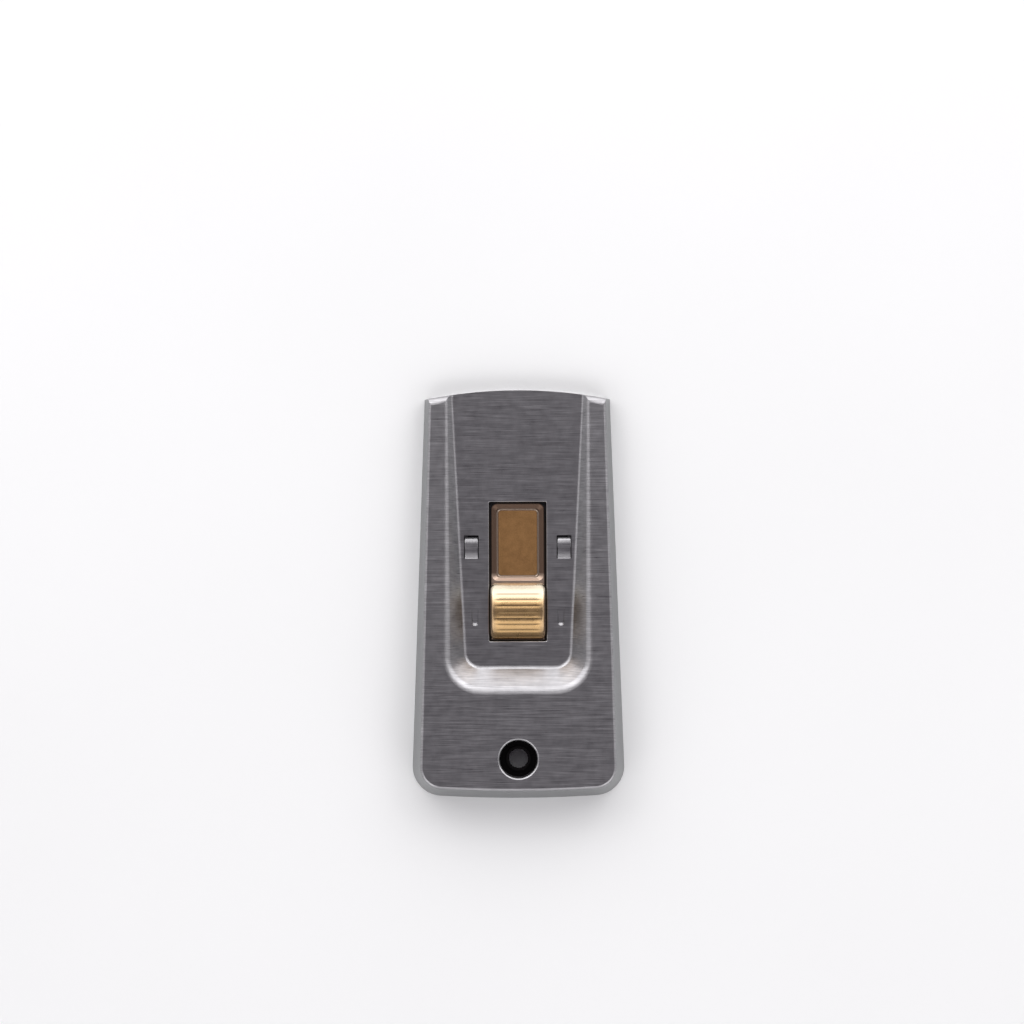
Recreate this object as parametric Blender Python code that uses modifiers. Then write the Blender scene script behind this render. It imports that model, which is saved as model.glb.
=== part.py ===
"""Retractable scraper for single-edge razor blades.

Two pressed steel covers hold a blade on a sliding carrier. A brass-coloured thumb slide in the
front cover's window pushes the blade out of the wide end. Metres, with the back face on z = 0,
+Z out of the front face and +Y towards the blade end.
"""

import math

import bmesh
import bpy
from mathutils import Matrix, Vector

# Razor blade with its folded spine
BLADE_WIDTH = 0.0381
BLADE_DEPTH = 0.01905
BLADE_THICKNESS = 0.00025
BLADE_BEVEL = 0.0019
BLADE_EDGE_THICKNESS = 0.00004
NOTCH_FROM_CUTTING_EDGE = 0.00835
NOTCH_WIDTH = 0.002
NOTCH_DEPTH = 0.0031
SLOT_WIDTH = 0.002
SLOT_LENGTH = 0.0056
SPINE_DEPTH = 0.0054
SPINE_SHEET = 0.00025
SPINE_CLEARANCE = 0.00014

# Gaps between pieces
SEAT_GAP = 0.00015
RUNNING_GAP = 0.0003
BLADE_SIDE_GAP = 0.00014
WINDOW_GAP = 0.00016

# Covers
COVER_SHEET = 0.0006
BODY_LENGTH = 0.0897
FRONT_BOW = 0.002
SIDE_TAPER = math.radians(2.07)
DRAFT = math.radians(11)
REAR_SLOPE = math.radians(3.2)
REAR_BOW_SHARE = 0.64
BODY_CORNER_RADIUS = 0.0065
BEND_SIZE = 0.0006
BACK_BEND_SIZE = 0.0009
LEAST_BEND = math.radians(25)
LIP_TURN = math.radians(80)

# Ridges and recess of the front cover
RIDGE_RISE = 0.00125
RIDGE_NOSE = 0.00135
WEDGE_ANGLE = math.radians(2.86)
RECESS_INSIDE_BLADE = 0.00345
RECESS_LENGTH = 0.0659
RECESS_SLOPE = math.radians(45)
RECESS_CORNER_RADIUS = 0.0034
RECESS_SIDE_FILLET = 0.0004
RECESS_REAR_FILLET = 0.001

# Back cover
FLANGE_HEIGHT = 0.0026
FLANGE_LENGTH = 0.0618
RAIL_HEIGHT = 0.0005
RAIL_SLOPE = math.radians(45)
RAIL_WIDTH = 0.002
RAIL_SPACING = 0.018
RAIL_LENGTH = 0.056
RAIL_FRONT_MARGIN = 0.0065
BACK_HOLE_RADIUS = 0.0021
BACK_COLLAR_HEIGHT = 0.0019

# Hang hole of the front cover
HANG_HOLE_FROM_REAR = 0.00875
HANG_HOLE_RADIUS = 0.00395
HANG_LIP_RADIUS = 0.0007
HANG_COLLAR_DEPTH = 0.0016

# Thumb slide
SLIDE_SHEET = 0.0004
SLIDE_WIDTH = 0.01188
SLIDE_FRONT_SET_BACK = 0.0249
FLANGE_BESIDE_PAN = 0.00136
TONGUE_LENGTH = 0.0038
FLANGE_TAIL = 0.0018
PAN_LENGTH = 0.01687
PAN_RIM = 0.00012
PAN_WALL = 0.0008
PAN_CORNER_RADIUS = 0.0013
BEAD_FLANK = 0.00015
BEAD_HEIGHT = 0.00012
HUMP_GAP = 0.00045
HUMP_LENGTH = 0.0124
HUMP_RISE = 0.0039
HUMP_EDGE_RADIUS = 0.0013
HUMP_CROWN = 0.0004
RIB_PITCH = 0.0013
RIB_WIDTH = 0.00095
RIB_HEIGHT = 0.00022
RIB_MARGIN = 0.0014
RIB_FRONT_MARGIN = 0.0025
RIB_COUNT = 7

# Blade carrier
CARRIER_SHEET = 0.0005
CARRIER_INSIDE_BLADE = 0.00085
CARRIER_NECK_WIDTH = 0.022
CARRIER_HEAD_LENGTH = 0.0142
CARRIER_LENGTH = 0.0576
CARRIER_CORNER_RADIUS = 0.003
RAIL_GAP = 0.0002
LIP_BESIDE_SLIDE = 0.00306
LIP_INSIDE_BLADE = 0.00305
LIP_SET_DOWN = 0.0001
LUG_CLEARANCE = 0.0002
SPRING_RELIEF_WIDTH = 0.0168
SPRING_RELIEF_MARGIN = 0.0006

# Tabs that clinch the thumb slide to the carrier
CLINCH_LENGTH = 0.0024
CLINCH_REACH = 0.0018
CLINCH_GAP = 0.0001
CLINCH_SIDE_MARGIN = 0.0001
TAB_ROOT_SHARE = 0.25
CLINCH_FROM_SLIDE_FRONT = 0.0079
CLINCH_SPACING = 0.0194

# Lock spring, its rivets, and what the front cover has for it
SPRING_SHEET = 0.0003
SPRING_WIDTH = 0.003
PRONG_SIDE_MARGIN = 0.00025
PRONG_END_MARGIN = 0.0001
PRONG_RISE = 0.00095
PRONG_BEHIND_HUMP_FRONT = 0.00722
RIVET_RADIUS = 0.0008
RIVET_HEAD_RADIUS = 0.0014
RIVET_HEAD_HEIGHT = 0.0004
RIVET_SPACING = 0.005
RIVET_FIT = 0.0001
LOCK_GAP = 0.0002
LANCE_PLACE_SHARE = 0.63
LANCE_WIDTH_SHARE = 0.43
LANCE_LENGTH = 0.0055
LANCE_SIDE_GAP = 0.0001
LANCE_TIP_GAP = 0.00057
LANCE_SLOPE_LENGTH = 0.0012
LANCE_SET_DOWN = 0.00045
LANCE_CURL_RADIUS = 0.0011
LANCE_CURL_ANGLE = math.radians(52)
DART_PLACE_SHARE = 0.57
DART_WIDTH = 0.0014
DART_LENGTH = 0.0036
DART_DEPTH = 0.0004
DART_LEAD = 0.0016

# Overrun of every cut, distance that merges points, how squarely a face looks along an axis, and
# the counts of straight pieces in arcs
OVERRUN = 0.002
MERGE_DISTANCE = 0.000002
SQUARE_SHARE = 0.9
ROUND_PROFILE_SHARE = 0.5
NOSE_STEPS = 4
BOW_STEPS = 14
CORNER_STEPS = 8
BEND_STEPS = 3
CURL_STEPS = 5
FOLD_STEPS = 6
HUMP_STEPS = 12
CROWN_SHARES = (-0.6, -0.3, 0, 0.3, 0.6)
RING_STEPS = 40
RIVET_STEPS = 24

# Heights above the back face, from the back cover to the front cover's floor
RAIL_TOP = COVER_SHEET + RAIL_HEIGHT
CARRIER_BOTTOM = RAIL_TOP + RAIL_GAP
CARRIER_TOP = CARRIER_BOTTOM + CARRIER_SHEET
SPINE_BOTTOM = CARRIER_TOP + SEAT_GAP
SPINE_HEIGHT = BLADE_THICKNESS + 2 * (SPINE_CLEARANCE + SPINE_SHEET)
SPINE_TOP = SPINE_BOTTOM + SPINE_HEIGHT
BLADE_MIDDLE = SPINE_BOTTOM + SPINE_HEIGHT / 2
FLOOR_UNDERSIDE = SPINE_TOP + RUNNING_GAP
FLOOR_TOP = FLOOR_UNDERSIDE + COVER_SHEET
SLIDE_TOP = FLOOR_UNDERSIDE - RUNNING_GAP
PAN_BOTTOM = CARRIER_TOP + SEAT_GAP
PAN_FLOOR = PAN_BOTTOM + SLIDE_SHEET
LUG_TOP = BLADE_MIDDLE + BLADE_THICKNESS / 2 + LUG_CLEARANCE
LIP_TOP = SPINE_TOP - LIP_SET_DOWN
SPRING_BOTTOM = CARRIER_TOP + SEAT_GAP
SPRING_TOP = SPRING_BOTTOM + SPRING_SHEET
HUMP_TOP = SLIDE_TOP + HUMP_RISE

# Places along the body
BODY_FRONT = BODY_LENGTH / 2
BODY_REAR = -BODY_LENGTH / 2
FRONT_CORNER_Y = BODY_FRONT - FRONT_BOW
WALL_FOOTPRINT = COVER_SHEET / math.cos(DRAFT)
FRONT_HALF_WIDTH = BLADE_WIDTH / 2 + BLADE_SIDE_GAP + WALL_FOOTPRINT + SPINE_TOP * math.tan(DRAFT)
REAR_HALF_WIDTH = FRONT_HALF_WIDTH + (FRONT_CORNER_Y - BODY_REAR) * math.tan(SIDE_TAPER)
REAR_BOW_RADIUS = REAR_HALF_WIDTH * REAR_BOW_SHARE / math.tan(REAR_SLOPE)
RIDGE_FRONT_TOP = FLOOR_TOP + RIDGE_RISE
RECESS_MOUTH_WIDTH = BLADE_WIDTH - 2 * RECESS_INSIDE_BLADE
SLIDE_FRONT = BODY_FRONT - SLIDE_FRONT_SET_BACK
WINDOW_FRONT = SLIDE_FRONT + WINDOW_GAP
PAN_FRONT = SLIDE_FRONT - PAN_RIM
PAN_REAR = PAN_FRONT - PAN_LENGTH
HUMP_FRONT = PAN_REAR - HUMP_GAP
HUMP_REAR = HUMP_FRONT - HUMP_LENGTH
WINDOW_REAR = HUMP_REAR - WINDOW_GAP
WINDOW_WIDTH = SLIDE_WIDTH + 2 * WINDOW_GAP
TRAVEL = WINDOW_FRONT - HUMP_FRONT - RUNNING_GAP
BLADE_REAR = SLIDE_FRONT + RUNNING_GAP
CUTTING_EDGE = BLADE_REAR + BLADE_DEPTH
NOTCH_Y = CUTTING_EDGE - NOTCH_FROM_CUTTING_EDGE
CARRIER_WIDTH = BLADE_WIDTH - 2 * CARRIER_INSIDE_BLADE
CARRIER_HEAD_REAR = BLADE_REAR - SEAT_GAP - CARRIER_SHEET
CARRIER_FRONT = CARRIER_HEAD_REAR + CARRIER_HEAD_LENGTH
CLINCH_OUTER = SLIDE_WIDTH / 2 - CLINCH_SIDE_MARGIN
CLINCH_FRONT = SLIDE_FRONT - CLINCH_FROM_SLIDE_FRONT
CLINCH_PLACES = (CLINCH_FRONT, CLINCH_FRONT - CLINCH_SPACING)
PRONG_REAR = HUMP_FRONT - PRONG_BEHIND_HUMP_FRONT
LANCE_TIP = PRONG_REAR + TRAVEL - LOCK_GAP
LANCE_ROOT = LANCE_TIP + LANCE_TIP_GAP - LANCE_LENGTH
DART_FRONT = PRONG_REAR + DART_LEAD
SPRING_MIDDLE = PRONG_REAR + SPRING_WIDTH / 2
HANG_HOLE_Y = BODY_REAR + HANG_HOLE_FROM_REAR
RECESS_REAR = BODY_FRONT - RECESS_LENGTH
UP = Vector((0, 0, 1))


def clear_scene():
    """Removes whatever the file opened with."""
    for old in list(bpy.data.objects):
        bpy.data.objects.remove(old)


def collection(name):
    group = bpy.data.collections.new(name)
    bpy.context.scene.collection.children.link(group)
    return group


def material(name, colour, roughness):
    finish = bpy.data.materials.new(name)
    finish.use_nodes = True
    shader = finish.node_tree.nodes["Principled BSDF"]
    shader.inputs["Base Color"].default_value = (*colour, 1)
    shader.inputs["Roughness"].default_value = roughness
    shader.inputs["Metallic"].default_value = 1
    return finish


def add_open_object(name, bm, group):
    """Turns a bmesh into an object in a collection, with its faces turned as they are."""
    mesh = bpy.data.meshes.new(name)
    bm.to_mesh(mesh)
    bm.free()
    obj = bpy.data.objects.new(name, mesh)
    group.objects.link(obj)
    return obj


def add_object(name, bm, group):
    """Turns a bmesh into an object in a collection, with its faces turned outwards."""
    bmesh.ops.recalc_face_normals(bm, faces=bm.faces)
    return add_open_object(name, bm, group)


def add_cutter(name, bm):
    """A tool solid: it shapes other pieces and is left out of renders."""
    obj = add_object(name, bm, cutters)
    obj.hide_render = True
    obj.display_type = "WIRE"
    return obj


def combine(target, tool, operation):
    boolean = target.modifiers.new(tool.name, "BOOLEAN")
    boolean.object = tool
    boolean.operation = operation
    boolean.solver = "EXACT"


def cut(target, tool):
    combine(target, tool, "DIFFERENCE")


def join(target, tool):
    combine(target, tool, "UNION")


def keep_inside(target, tool):
    combine(target, tool, "INTERSECT")


def evaluated_bmesh(obj):
    """A bmesh of the object with its modifiers applied."""
    bpy.context.view_layer.update()
    depsgraph = bpy.context.evaluated_depsgraph_get()
    mesh = bpy.data.meshes.new_from_object(obj.evaluated_get(depsgraph))
    bm = bmesh.new()
    bm.from_mesh(mesh)
    bpy.data.meshes.remove(mesh)
    bmesh.ops.remove_doubles(bm, verts=bm.verts, dist=MERGE_DISTANCE)
    bm.normal_update()
    return bm


def add_solidify(obj, thickness):
    """Gives an open surface its sheet, on the inner side of its faces."""
    sheet = obj.modifiers.new("sheet", "SOLIDIFY")
    sheet.thickness = thickness
    sheet.offset = -1
    sheet.use_even_offset = True
    sheet.use_quality_normals = True


def rounded_outline(corners, steps=CORNER_STEPS):
    """Points of a closed outline, from corners (x, y, radius) given counter-clockwise."""
    points = []
    for index, (x, y, radius) in enumerate(corners):
        corner = Vector((x, y))
        if radius == 0:
            points.append(corner)
            continue
        before = (Vector(corners[index - 1][:2]) - corner).normalized()
        after = (Vector(corners[(index + 1) % len(corners)][:2]) - corner).normalized()
        half_angle = before.angle(after) / 2
        centre = corner + (before + after).normalized() * (radius / math.sin(half_angle))
        start = corner + before * (radius / math.tan(half_angle)) - centre
        end = corner + after * (radius / math.tan(half_angle)) - centre
        first = math.atan2(start.y, start.x)
        turn = math.remainder(math.atan2(end.y, end.x) - first, math.tau)
        for step in range(steps + 1):
            angle = first + turn * step / steps
            points.append(centre + Vector((math.cos(angle), math.sin(angle))) * radius)
    return points


def bowed_edge(start, end, bow, steps=BOW_STEPS):
    """Points of a shallow arc between two points, which its middle height bows to the right of the way."""
    start = Vector(start)
    chord = Vector(end) - start
    along = chord.normalized()
    right = Vector((along.y, -along.x))
    half = chord.length / 2
    radius = (half**2 + bow**2) / (2 * bow)
    half_angle = math.asin(half / radius)
    centre = start + chord / 2 - right * (radius - bow)
    points = []
    for step in range(1, steps):
        angle = half_angle * (1 - 2 * step / steps)
        points.append(centre + right * radius * math.cos(angle) - along * radius * math.sin(angle))
    return points


def draw(bm, face, inset, depth):
    """Moves a face out along its normal on new side walls, and draws it in by the inset."""
    bmesh.ops.inset_region(
        bm,
        faces=[face],
        thickness=inset,
        depth=depth,
        use_boundary=True,
        use_even_offset=True,
    )


def close(bm):
    """Fills the one open rim with a flat face."""
    bmesh.ops.contextual_create(bm, geom=[edge for edge in bm.edges if edge.is_boundary])


def flat_face(bm, points, height, upwards=True):
    """A level face on an outline."""
    face = bm.faces.new([bm.verts.new((x, y, height)) for x, y in points])
    face.normal_update()
    if (face.normal.z > 0) != upwards:
        face.normal_flip()
    return face


def prism(bm, points, bottom, top, inset=0):
    """A closed block on an outline, whose top face is drawn in by the inset."""
    draw(bm, flat_face(bm, points, bottom), inset, top - bottom)
    close(bm)


def box(bm, low, high):
    """A block between two corners."""
    low = Vector(low)
    high = Vector(high)
    place = Matrix.LocRotScale((low + high) / 2, None, high - low)
    bmesh.ops.create_cube(bm, size=1, matrix=place)


def stadium(x, y, width, length):
    """A slot's outline along Y with round ends."""
    radius = width / 2
    points = []
    for side in (1, -1):
        centre = Vector((x, y + side * (length / 2 - radius)))
        for step in range(2 * BEND_STEPS + 1):
            angle = math.pi * step / (2 * BEND_STEPS)
            points.append(centre + side * radius * Vector((math.cos(angle), math.sin(angle))))
    return points


def strip(bm, path, half_width):
    """An open ribbon across X along a path of (y, z) points."""
    row = [bm.verts.new((-half_width, y, z)) for y, z in path]
    edges = [bm.edges.new(pair) for pair in zip(row, row[1:])]
    grown = bmesh.ops.extrude_edge_only(bm, edges=edges)
    moved = [part for part in grown["geom"] if isinstance(part, bmesh.types.BMVert)]
    bmesh.ops.translate(bm, verts=moved, vec=(2 * half_width, 0, 0))


def look_away(bm, point):
    """Turns the faces of an open surface so that they look away from a point."""
    bmesh.ops.recalc_face_normals(bm, faces=bm.faces)
    bm.normal_update()
    facing = 0
    for face in bm.faces:
        facing += face.calc_area() * face.normal.dot(face.calc_center_median() - Vector(point))
    if facing < 0:
        bmesh.ops.reverse_faces(bm, faces=bm.faces)


def turned(name, profile, group, steps, origin, tilt=0):
    """A turned piece about Z, from a profile of (radius, height) that runs down its outer side."""
    bm = bmesh.new()
    ring = [bm.verts.new((radius, 0, height)) for radius, height in profile]
    for pair in zip(ring, ring[1:]):
        bm.edges.new(pair)
    obj = add_open_object(name, bm, group)
    obj.location = origin
    obj.rotation_euler.x = tilt
    screw = obj.modifiers.new("turn", "SCREW")
    screw.steps = steps
    screw.render_steps = steps
    screw.use_merge_vertices = True
    screw.merge_threshold = SPINE_CLEARANCE / steps
    return obj


def turned_cutter(name, profile, steps, origin, tilt=0):
    obj = turned(name, profile, cutters, steps, origin, tilt)
    obj.hide_render = True
    obj.display_type = "WIRE"
    return obj


def body_half_width(y, inward=0):
    """Half width of the body's outer foot at a place along it, less an even offset."""
    return FRONT_HALF_WIDTH + (FRONT_CORNER_Y - y) * math.tan(SIDE_TAPER) - inward / math.cos(SIDE_TAPER)


def ridge_top(y):
    """Height of the ridges and the rear plateau, which is one sloping plane."""
    return RIDGE_FRONT_TOP + (FRONT_CORNER_Y - y) * math.tan(WEDGE_ANGLE)


def recess_half_width(y):
    """Half width of the recess floor at a place along the body."""
    return RECESS_MOUTH_WIDTH / 2 - (ridge_top(y) - FLOOR_TOP) / math.tan(RECESS_SLOPE)


def strip_width(y):
    """Width of the recess floor beside the window."""
    return recess_half_width(y) - WINDOW_WIDTH / 2


def lance_middle():
    """Distance of a lanced tab, and of the spring's prong behind it, from the middle line."""
    return WINDOW_WIDTH / 2 + LANCE_PLACE_SHARE * strip_width(LANCE_TIP)


def lance_width():
    return LANCE_WIDTH_SHARE * strip_width(LANCE_TIP)


def body_outline(inward):
    """The body's foot, drawn in by an even offset, with its front run out past the blade end."""
    crest = REAR_BOW_RADIUS * (1 / math.cos(REAR_SLOPE) - 1)
    middle = BODY_REAR - crest + inward / math.cos(REAR_SLOPE)
    reach = body_half_width(BODY_REAR, inward)
    corner = middle + reach * math.tan(REAR_SLOPE)
    front = BODY_FRONT + OVERRUN
    return rounded_outline(
        [
            (body_half_width(front, inward), front, 0),
            (-body_half_width(front, inward), front, 0),
            (-body_half_width(corner, inward), corner, BODY_CORNER_RADIUS - inward),
            (0, middle, REAR_BOW_RADIUS - inward),
            (body_half_width(corner, inward), corner, BODY_CORNER_RADIUS - inward),
        ]
    )


def front_edge_outline():
    """A block's outline that ends in the bowed edge of the blade end and is wide of the body elsewhere."""
    side = FRONT_HALF_WIDTH + BODY_LENGTH
    right = (FRONT_HALF_WIDTH, FRONT_CORNER_Y)
    left = (-FRONT_HALF_WIDTH, FRONT_CORNER_Y)
    rear = BODY_REAR - BODY_LENGTH
    bow = bowed_edge(right, left, FRONT_BOW)
    return [(side, FRONT_CORNER_Y), right, *bow, left, (-side, FRONT_CORNER_Y), (-side, rear), (side, rear)]


def recess_outline():
    """The recess floor before its fillets: its sides keep the recess mouth even along the rising ridges."""
    rear = RECESS_REAR + (ridge_top(RECESS_REAR) - FLOOR_TOP) / math.tan(RECESS_SLOPE)
    front = BODY_FRONT + OVERRUN
    return rounded_outline(
        [
            (recess_half_width(front), front, 0),
            (-recess_half_width(front), front, 0),
            (-recess_half_width(rear), rear, RECESS_CORNER_RADIUS),
            (recess_half_width(rear), rear, RECESS_CORNER_RADIUS),
        ]
    )


def front_block():
    """The front cover's outer form as a closed block: drafted sides, sloping top and recess."""
    height = ridge_top(BODY_REAR) + OVERRUN
    bm = bmesh.new()
    spread = OVERRUN * math.tan(DRAFT)
    prism(bm, body_outline(-spread), -OVERRUN, height, inset=(height + OVERRUN) * math.tan(DRAFT))
    bmesh.ops.bisect_plane(
        bm,
        geom=bm.verts[:] + bm.edges[:] + bm.faces[:],
        plane_co=(0, FRONT_CORNER_Y, RIDGE_FRONT_TOP),
        plane_no=(0, math.sin(WEDGE_ANGLE), math.cos(WEDGE_ANGLE)),
        clear_outer=True,
    )
    close(bm)
    block = add_cutter("front_block", bm)
    bm = bmesh.new()
    depth = height - FLOOR_TOP
    prism(bm, recess_outline(), FLOOR_TOP, height, inset=-depth / math.tan(RECESS_SLOPE))
    cut(block, add_cutter("recess", bm))
    return block


def add_bends(bm, name):
    """Rounds the long edges of the front cover's block, with a wider fillet at the recess's rear."""
    weight = bm.edges.layers.float.new("bevel_weight_edge")
    for edge in bm.edges:
        faces = edge.link_faces
        at_end = any(face.normal.z < -SQUARE_SHARE or face.normal.y > SQUARE_SHARE for face in faces)
        if at_end or edge.calc_face_angle() < LEAST_BEND:
            continue
        size = BEND_SIZE
        if not edge.is_convex:
            across = abs((edge.verts[0].co - edge.verts[1].co).normalized().x)
            size = RECESS_SIDE_FILLET + (RECESS_REAR_FILLET - RECESS_SIDE_FILLET) * across
        edge[weight] = size / RECESS_REAR_FILLET
    bent = add_cutter(name, bm)
    bend = bent.modifiers.new("bends", "BEVEL")
    bend.limit_method = "WEIGHT"
    bend.width = RECESS_REAR_FILLET
    bend.segments = BEND_STEPS
    return bent


def front_edge():
    """A block with the bowed edge of the blade end, which rounds off what stands above the floor there."""
    bm = bmesh.new()
    face = flat_face(bm, front_edge_outline(), -2 * OVERRUN)
    draw(bm, face, 0, FLOOR_TOP + 2 * OVERRUN)
    reach = 0
    rise = 0
    for step in range(1, NOSE_STEPS + 1):
        angle = math.pi / 2 * step / NOSE_STEPS
        next_reach = RIDGE_NOSE * (1 - math.cos(angle))
        next_rise = RIDGE_NOSE * math.sin(angle)
        draw(bm, face, next_reach - reach, next_rise - rise)
        reach = next_reach
        rise = next_rise
    draw(bm, face, BODY_LENGTH - FRONT_HALF_WIDTH, BODY_LENGTH * math.tan(WEDGE_ANGLE))
    close(bm)
    return add_cutter("front_edge", bm)


def front_end_faces(bm):
    """The upright faces at the blade end, where a cover is open."""
    upright = 1 - SQUARE_SHARE
    return [face for face in bm.faces if face.normal.y > SQUARE_SHARE and abs(face.normal.z) < upright]


def front_cover():
    """Pressed steel front cover."""
    form = add_bends(evaluated_bmesh(front_block()), "front_form")
    keep_inside(form, front_edge())
    bm = evaluated_bmesh(form)
    opened = [face for face in bm.faces if face.normal.z < -SQUARE_SHARE]
    opened += front_end_faces(bm)
    bmesh.ops.delete(bm, geom=opened, context="FACES")
    look_away(bm, (0, 0, -BODY_LENGTH))
    cover = add_open_object("front_cover", bm, parts)
    add_solidify(cover, COVER_SHEET)

    bm = bmesh.new()
    box(bm, (-BODY_LENGTH, -BODY_LENGTH, -BODY_LENGTH), (BODY_LENGTH, BODY_LENGTH, 0))
    cut(cover, add_cutter("below_back_face", bm))

    bm = bmesh.new()
    low = (-WINDOW_WIDTH / 2, WINDOW_REAR, FLOOR_UNDERSIDE - OVERRUN)
    box(bm, low, (WINDOW_WIDTH / 2, WINDOW_FRONT, FLOOR_TOP + OVERRUN))
    cut(cover, add_cutter("window", bm))
    for side in (-1, 1):
        lanced_tab(cover, side)
        dart(cover, side)
    hang_hole(cover)
    return cover


def lanced_tab(cover, side):
    """A tab lanced out of the recess floor, set down and curled under at its free front end."""
    middle = side * lance_middle()
    slot_front = LANCE_ROOT + LANCE_LENGTH
    bm = bmesh.new()
    half = lance_width() / 2
    low = (middle - half, LANCE_ROOT, FLOOR_UNDERSIDE - OVERRUN)
    box(bm, low, (middle + half, slot_front, FLOOR_TOP + OVERRUN))
    cut(cover, add_cutter(f"lance_slot_{side}", bm))

    thin = LANCE_SIDE_GAP / 2
    top = FLOOR_TOP - thin
    flat = top - LANCE_SET_DOWN
    curl_start = LANCE_TIP - LANCE_CURL_RADIUS * math.sin(LANCE_CURL_ANGLE)
    path = [
        (LANCE_ROOT - LANCE_SLOPE_LENGTH, top),
        (LANCE_ROOT, top),
        (LANCE_ROOT + LANCE_SLOPE_LENGTH, flat),
    ]
    for step in range(CURL_STEPS + 1):
        angle = LANCE_CURL_ANGLE * step / CURL_STEPS
        drop = LANCE_CURL_RADIUS * (1 - math.cos(angle))
        path.append((curl_start + LANCE_CURL_RADIUS * math.sin(angle), flat - drop))
    bm = bmesh.new()
    strip(bm, path, half - LANCE_SIDE_GAP)
    bmesh.ops.translate(bm, verts=bm.verts, vec=(middle, 0, 0))
    look_away(bm, (middle, LANCE_ROOT, 0))
    tab = add_open_object(f"lance_tab_{side}", bm, cutters)
    tab.hide_render = True
    tab.display_type = "WIRE"
    add_solidify(tab, COVER_SHEET - 2 * thin)
    join(cover, tab)


def wedge_solid(middle, width, front, rear, top, depth):
    """A wedge block across X that is sharp at its front and deep at its rear."""
    bm = bmesh.new()
    corners = [(front, top), (rear, top - depth), (rear, top)]
    face = bm.faces.new([bm.verts.new((middle - width / 2, y, z)) for y, z in corners])
    bmesh.ops.recalc_face_normals(bm, faces=[face])
    grown = bmesh.ops.extrude_face_region(bm, geom=[face])
    moved = [part for part in grown["geom"] if isinstance(part, bmesh.types.BMVert)]
    bmesh.ops.translate(bm, verts=moved, vec=(width, 0, 0))
    return bm


def dart(cover, side):
    """A small dent in the recess floor, deepest at its rear, that stands proud on the inside."""
    middle = side * (WINDOW_WIDTH / 2 + DART_PLACE_SHARE * strip_width(DART_FRONT))
    steep = DART_DEPTH / DART_LENGTH
    wall = COVER_SHEET / 2
    rear = DART_FRONT - DART_LENGTH
    reach = wall / steep
    front = DART_FRONT + reach
    bump = wedge_solid(middle, DART_WIDTH, front, rear, FLOOR_UNDERSIDE + wall, DART_DEPTH + wall)
    join(cover, add_cutter(f"dart_bump_{side}", bump))
    over = OVERRUN * steep
    dent = wedge_solid(
        middle,
        DART_WIDTH - COVER_SHEET,
        DART_FRONT + OVERRUN,
        rear + wall,
        FLOOR_TOP + over,
        DART_DEPTH + over - wall * steep,
    )
    cut(cover, add_cutter(f"dart_dent_{side}", dent))


def hang_hole(cover):
    """The drawn-in hang hole of the front cover, square to the sloping plateau."""
    origin = (0, HANG_HOLE_Y, ridge_top(HANG_HOLE_Y))
    inside = COVER_SHEET / 2
    collar = HANG_HOLE_RADIUS + COVER_SHEET
    plug = [(0, -inside), (collar, -inside), (collar, -HANG_COLLAR_DEPTH), (0, -HANG_COLLAR_DEPTH)]
    join(cover, turned_cutter("hang_collar", plug, RING_STEPS, origin, -WEDGE_ANGLE))

    flare = HANG_HOLE_RADIUS + HANG_LIP_RADIUS
    profile = [(0, OVERRUN), (flare, OVERRUN)]
    for step in range(BEND_STEPS + 1):
        angle = LIP_TURN * (1 - step / BEND_STEPS)
        height = -HANG_LIP_RADIUS * (1 - math.sin(angle))
        profile.append((flare - HANG_LIP_RADIUS * math.cos(angle), height))
    profile += [(HANG_HOLE_RADIUS, -HANG_COLLAR_DEPTH - OVERRUN), (0, -HANG_COLLAR_DEPTH - OVERRUN)]
    cut(cover, turned_cutter("hang_bore", profile, RING_STEPS, origin, -WEDGE_ANGLE))


def back_cover():
    """Pressed steel back cover: a plate with flanges that nest inside the front cover's walls."""
    inward = WALL_FOOTPRINT + SEAT_GAP
    lean = FLANGE_HEIGHT * math.tan(DRAFT)
    bm = bmesh.new()
    prism(bm, body_outline(inward), 0, FLANGE_HEIGHT, inset=lean)
    block = add_cutter("back_block", bm)
    bm = bmesh.new()
    prism(bm, front_edge_outline(), -OVERRUN, FLANGE_HEIGHT + OVERRUN)
    keep_inside(block, add_cutter("back_edge", bm))

    bm = evaluated_bmesh(block)
    opened = [face for face in bm.faces if face.normal.z > SQUARE_SHARE]
    opened += front_end_faces(bm)
    bmesh.ops.delete(bm, geom=opened, context="FACES")
    inner = [edge for edge in bm.edges if len(edge.link_faces) == 2]
    folds = [edge for edge in inner if edge.calc_face_angle() > math.pi / 2]
    bmesh.ops.bevel(
        bm,
        geom=folds,
        offset=BACK_BEND_SIZE,
        segments=BEND_STEPS,
        profile=ROUND_PROFILE_SHARE,
        affect="EDGES",
        material=-1,
    )
    flange_front = BODY_REAR + FLANGE_LENGTH
    everything = bm.verts[:] + bm.edges[:] + bm.faces[:]
    bmesh.ops.bisect_plane(bm, geom=everything, plane_co=(0, flange_front, 0), plane_no=(0, 1, 0))
    ahead = [face for face in bm.faces if face.calc_center_median().y > flange_front]
    sides = [face for face in ahead if max(vertex.co.z for vertex in face.verts) > MERGE_DISTANCE]
    bmesh.ops.delete(bm, geom=sides, context="FACES")
    plate = [face for face in bm.faces if max(vertex.co.z for vertex in face.verts) < MERGE_DISTANCE]
    bmesh.ops.dissolve_faces(bm, faces=plate)
    look_away(bm, (0, 0, BODY_LENGTH))
    cover = add_open_object("back_cover", bm, parts)
    add_solidify(cover, COVER_SHEET)
    for side in (-1, 1):
        guide_rail(cover, side)
    back_hole(cover)
    return cover


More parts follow.
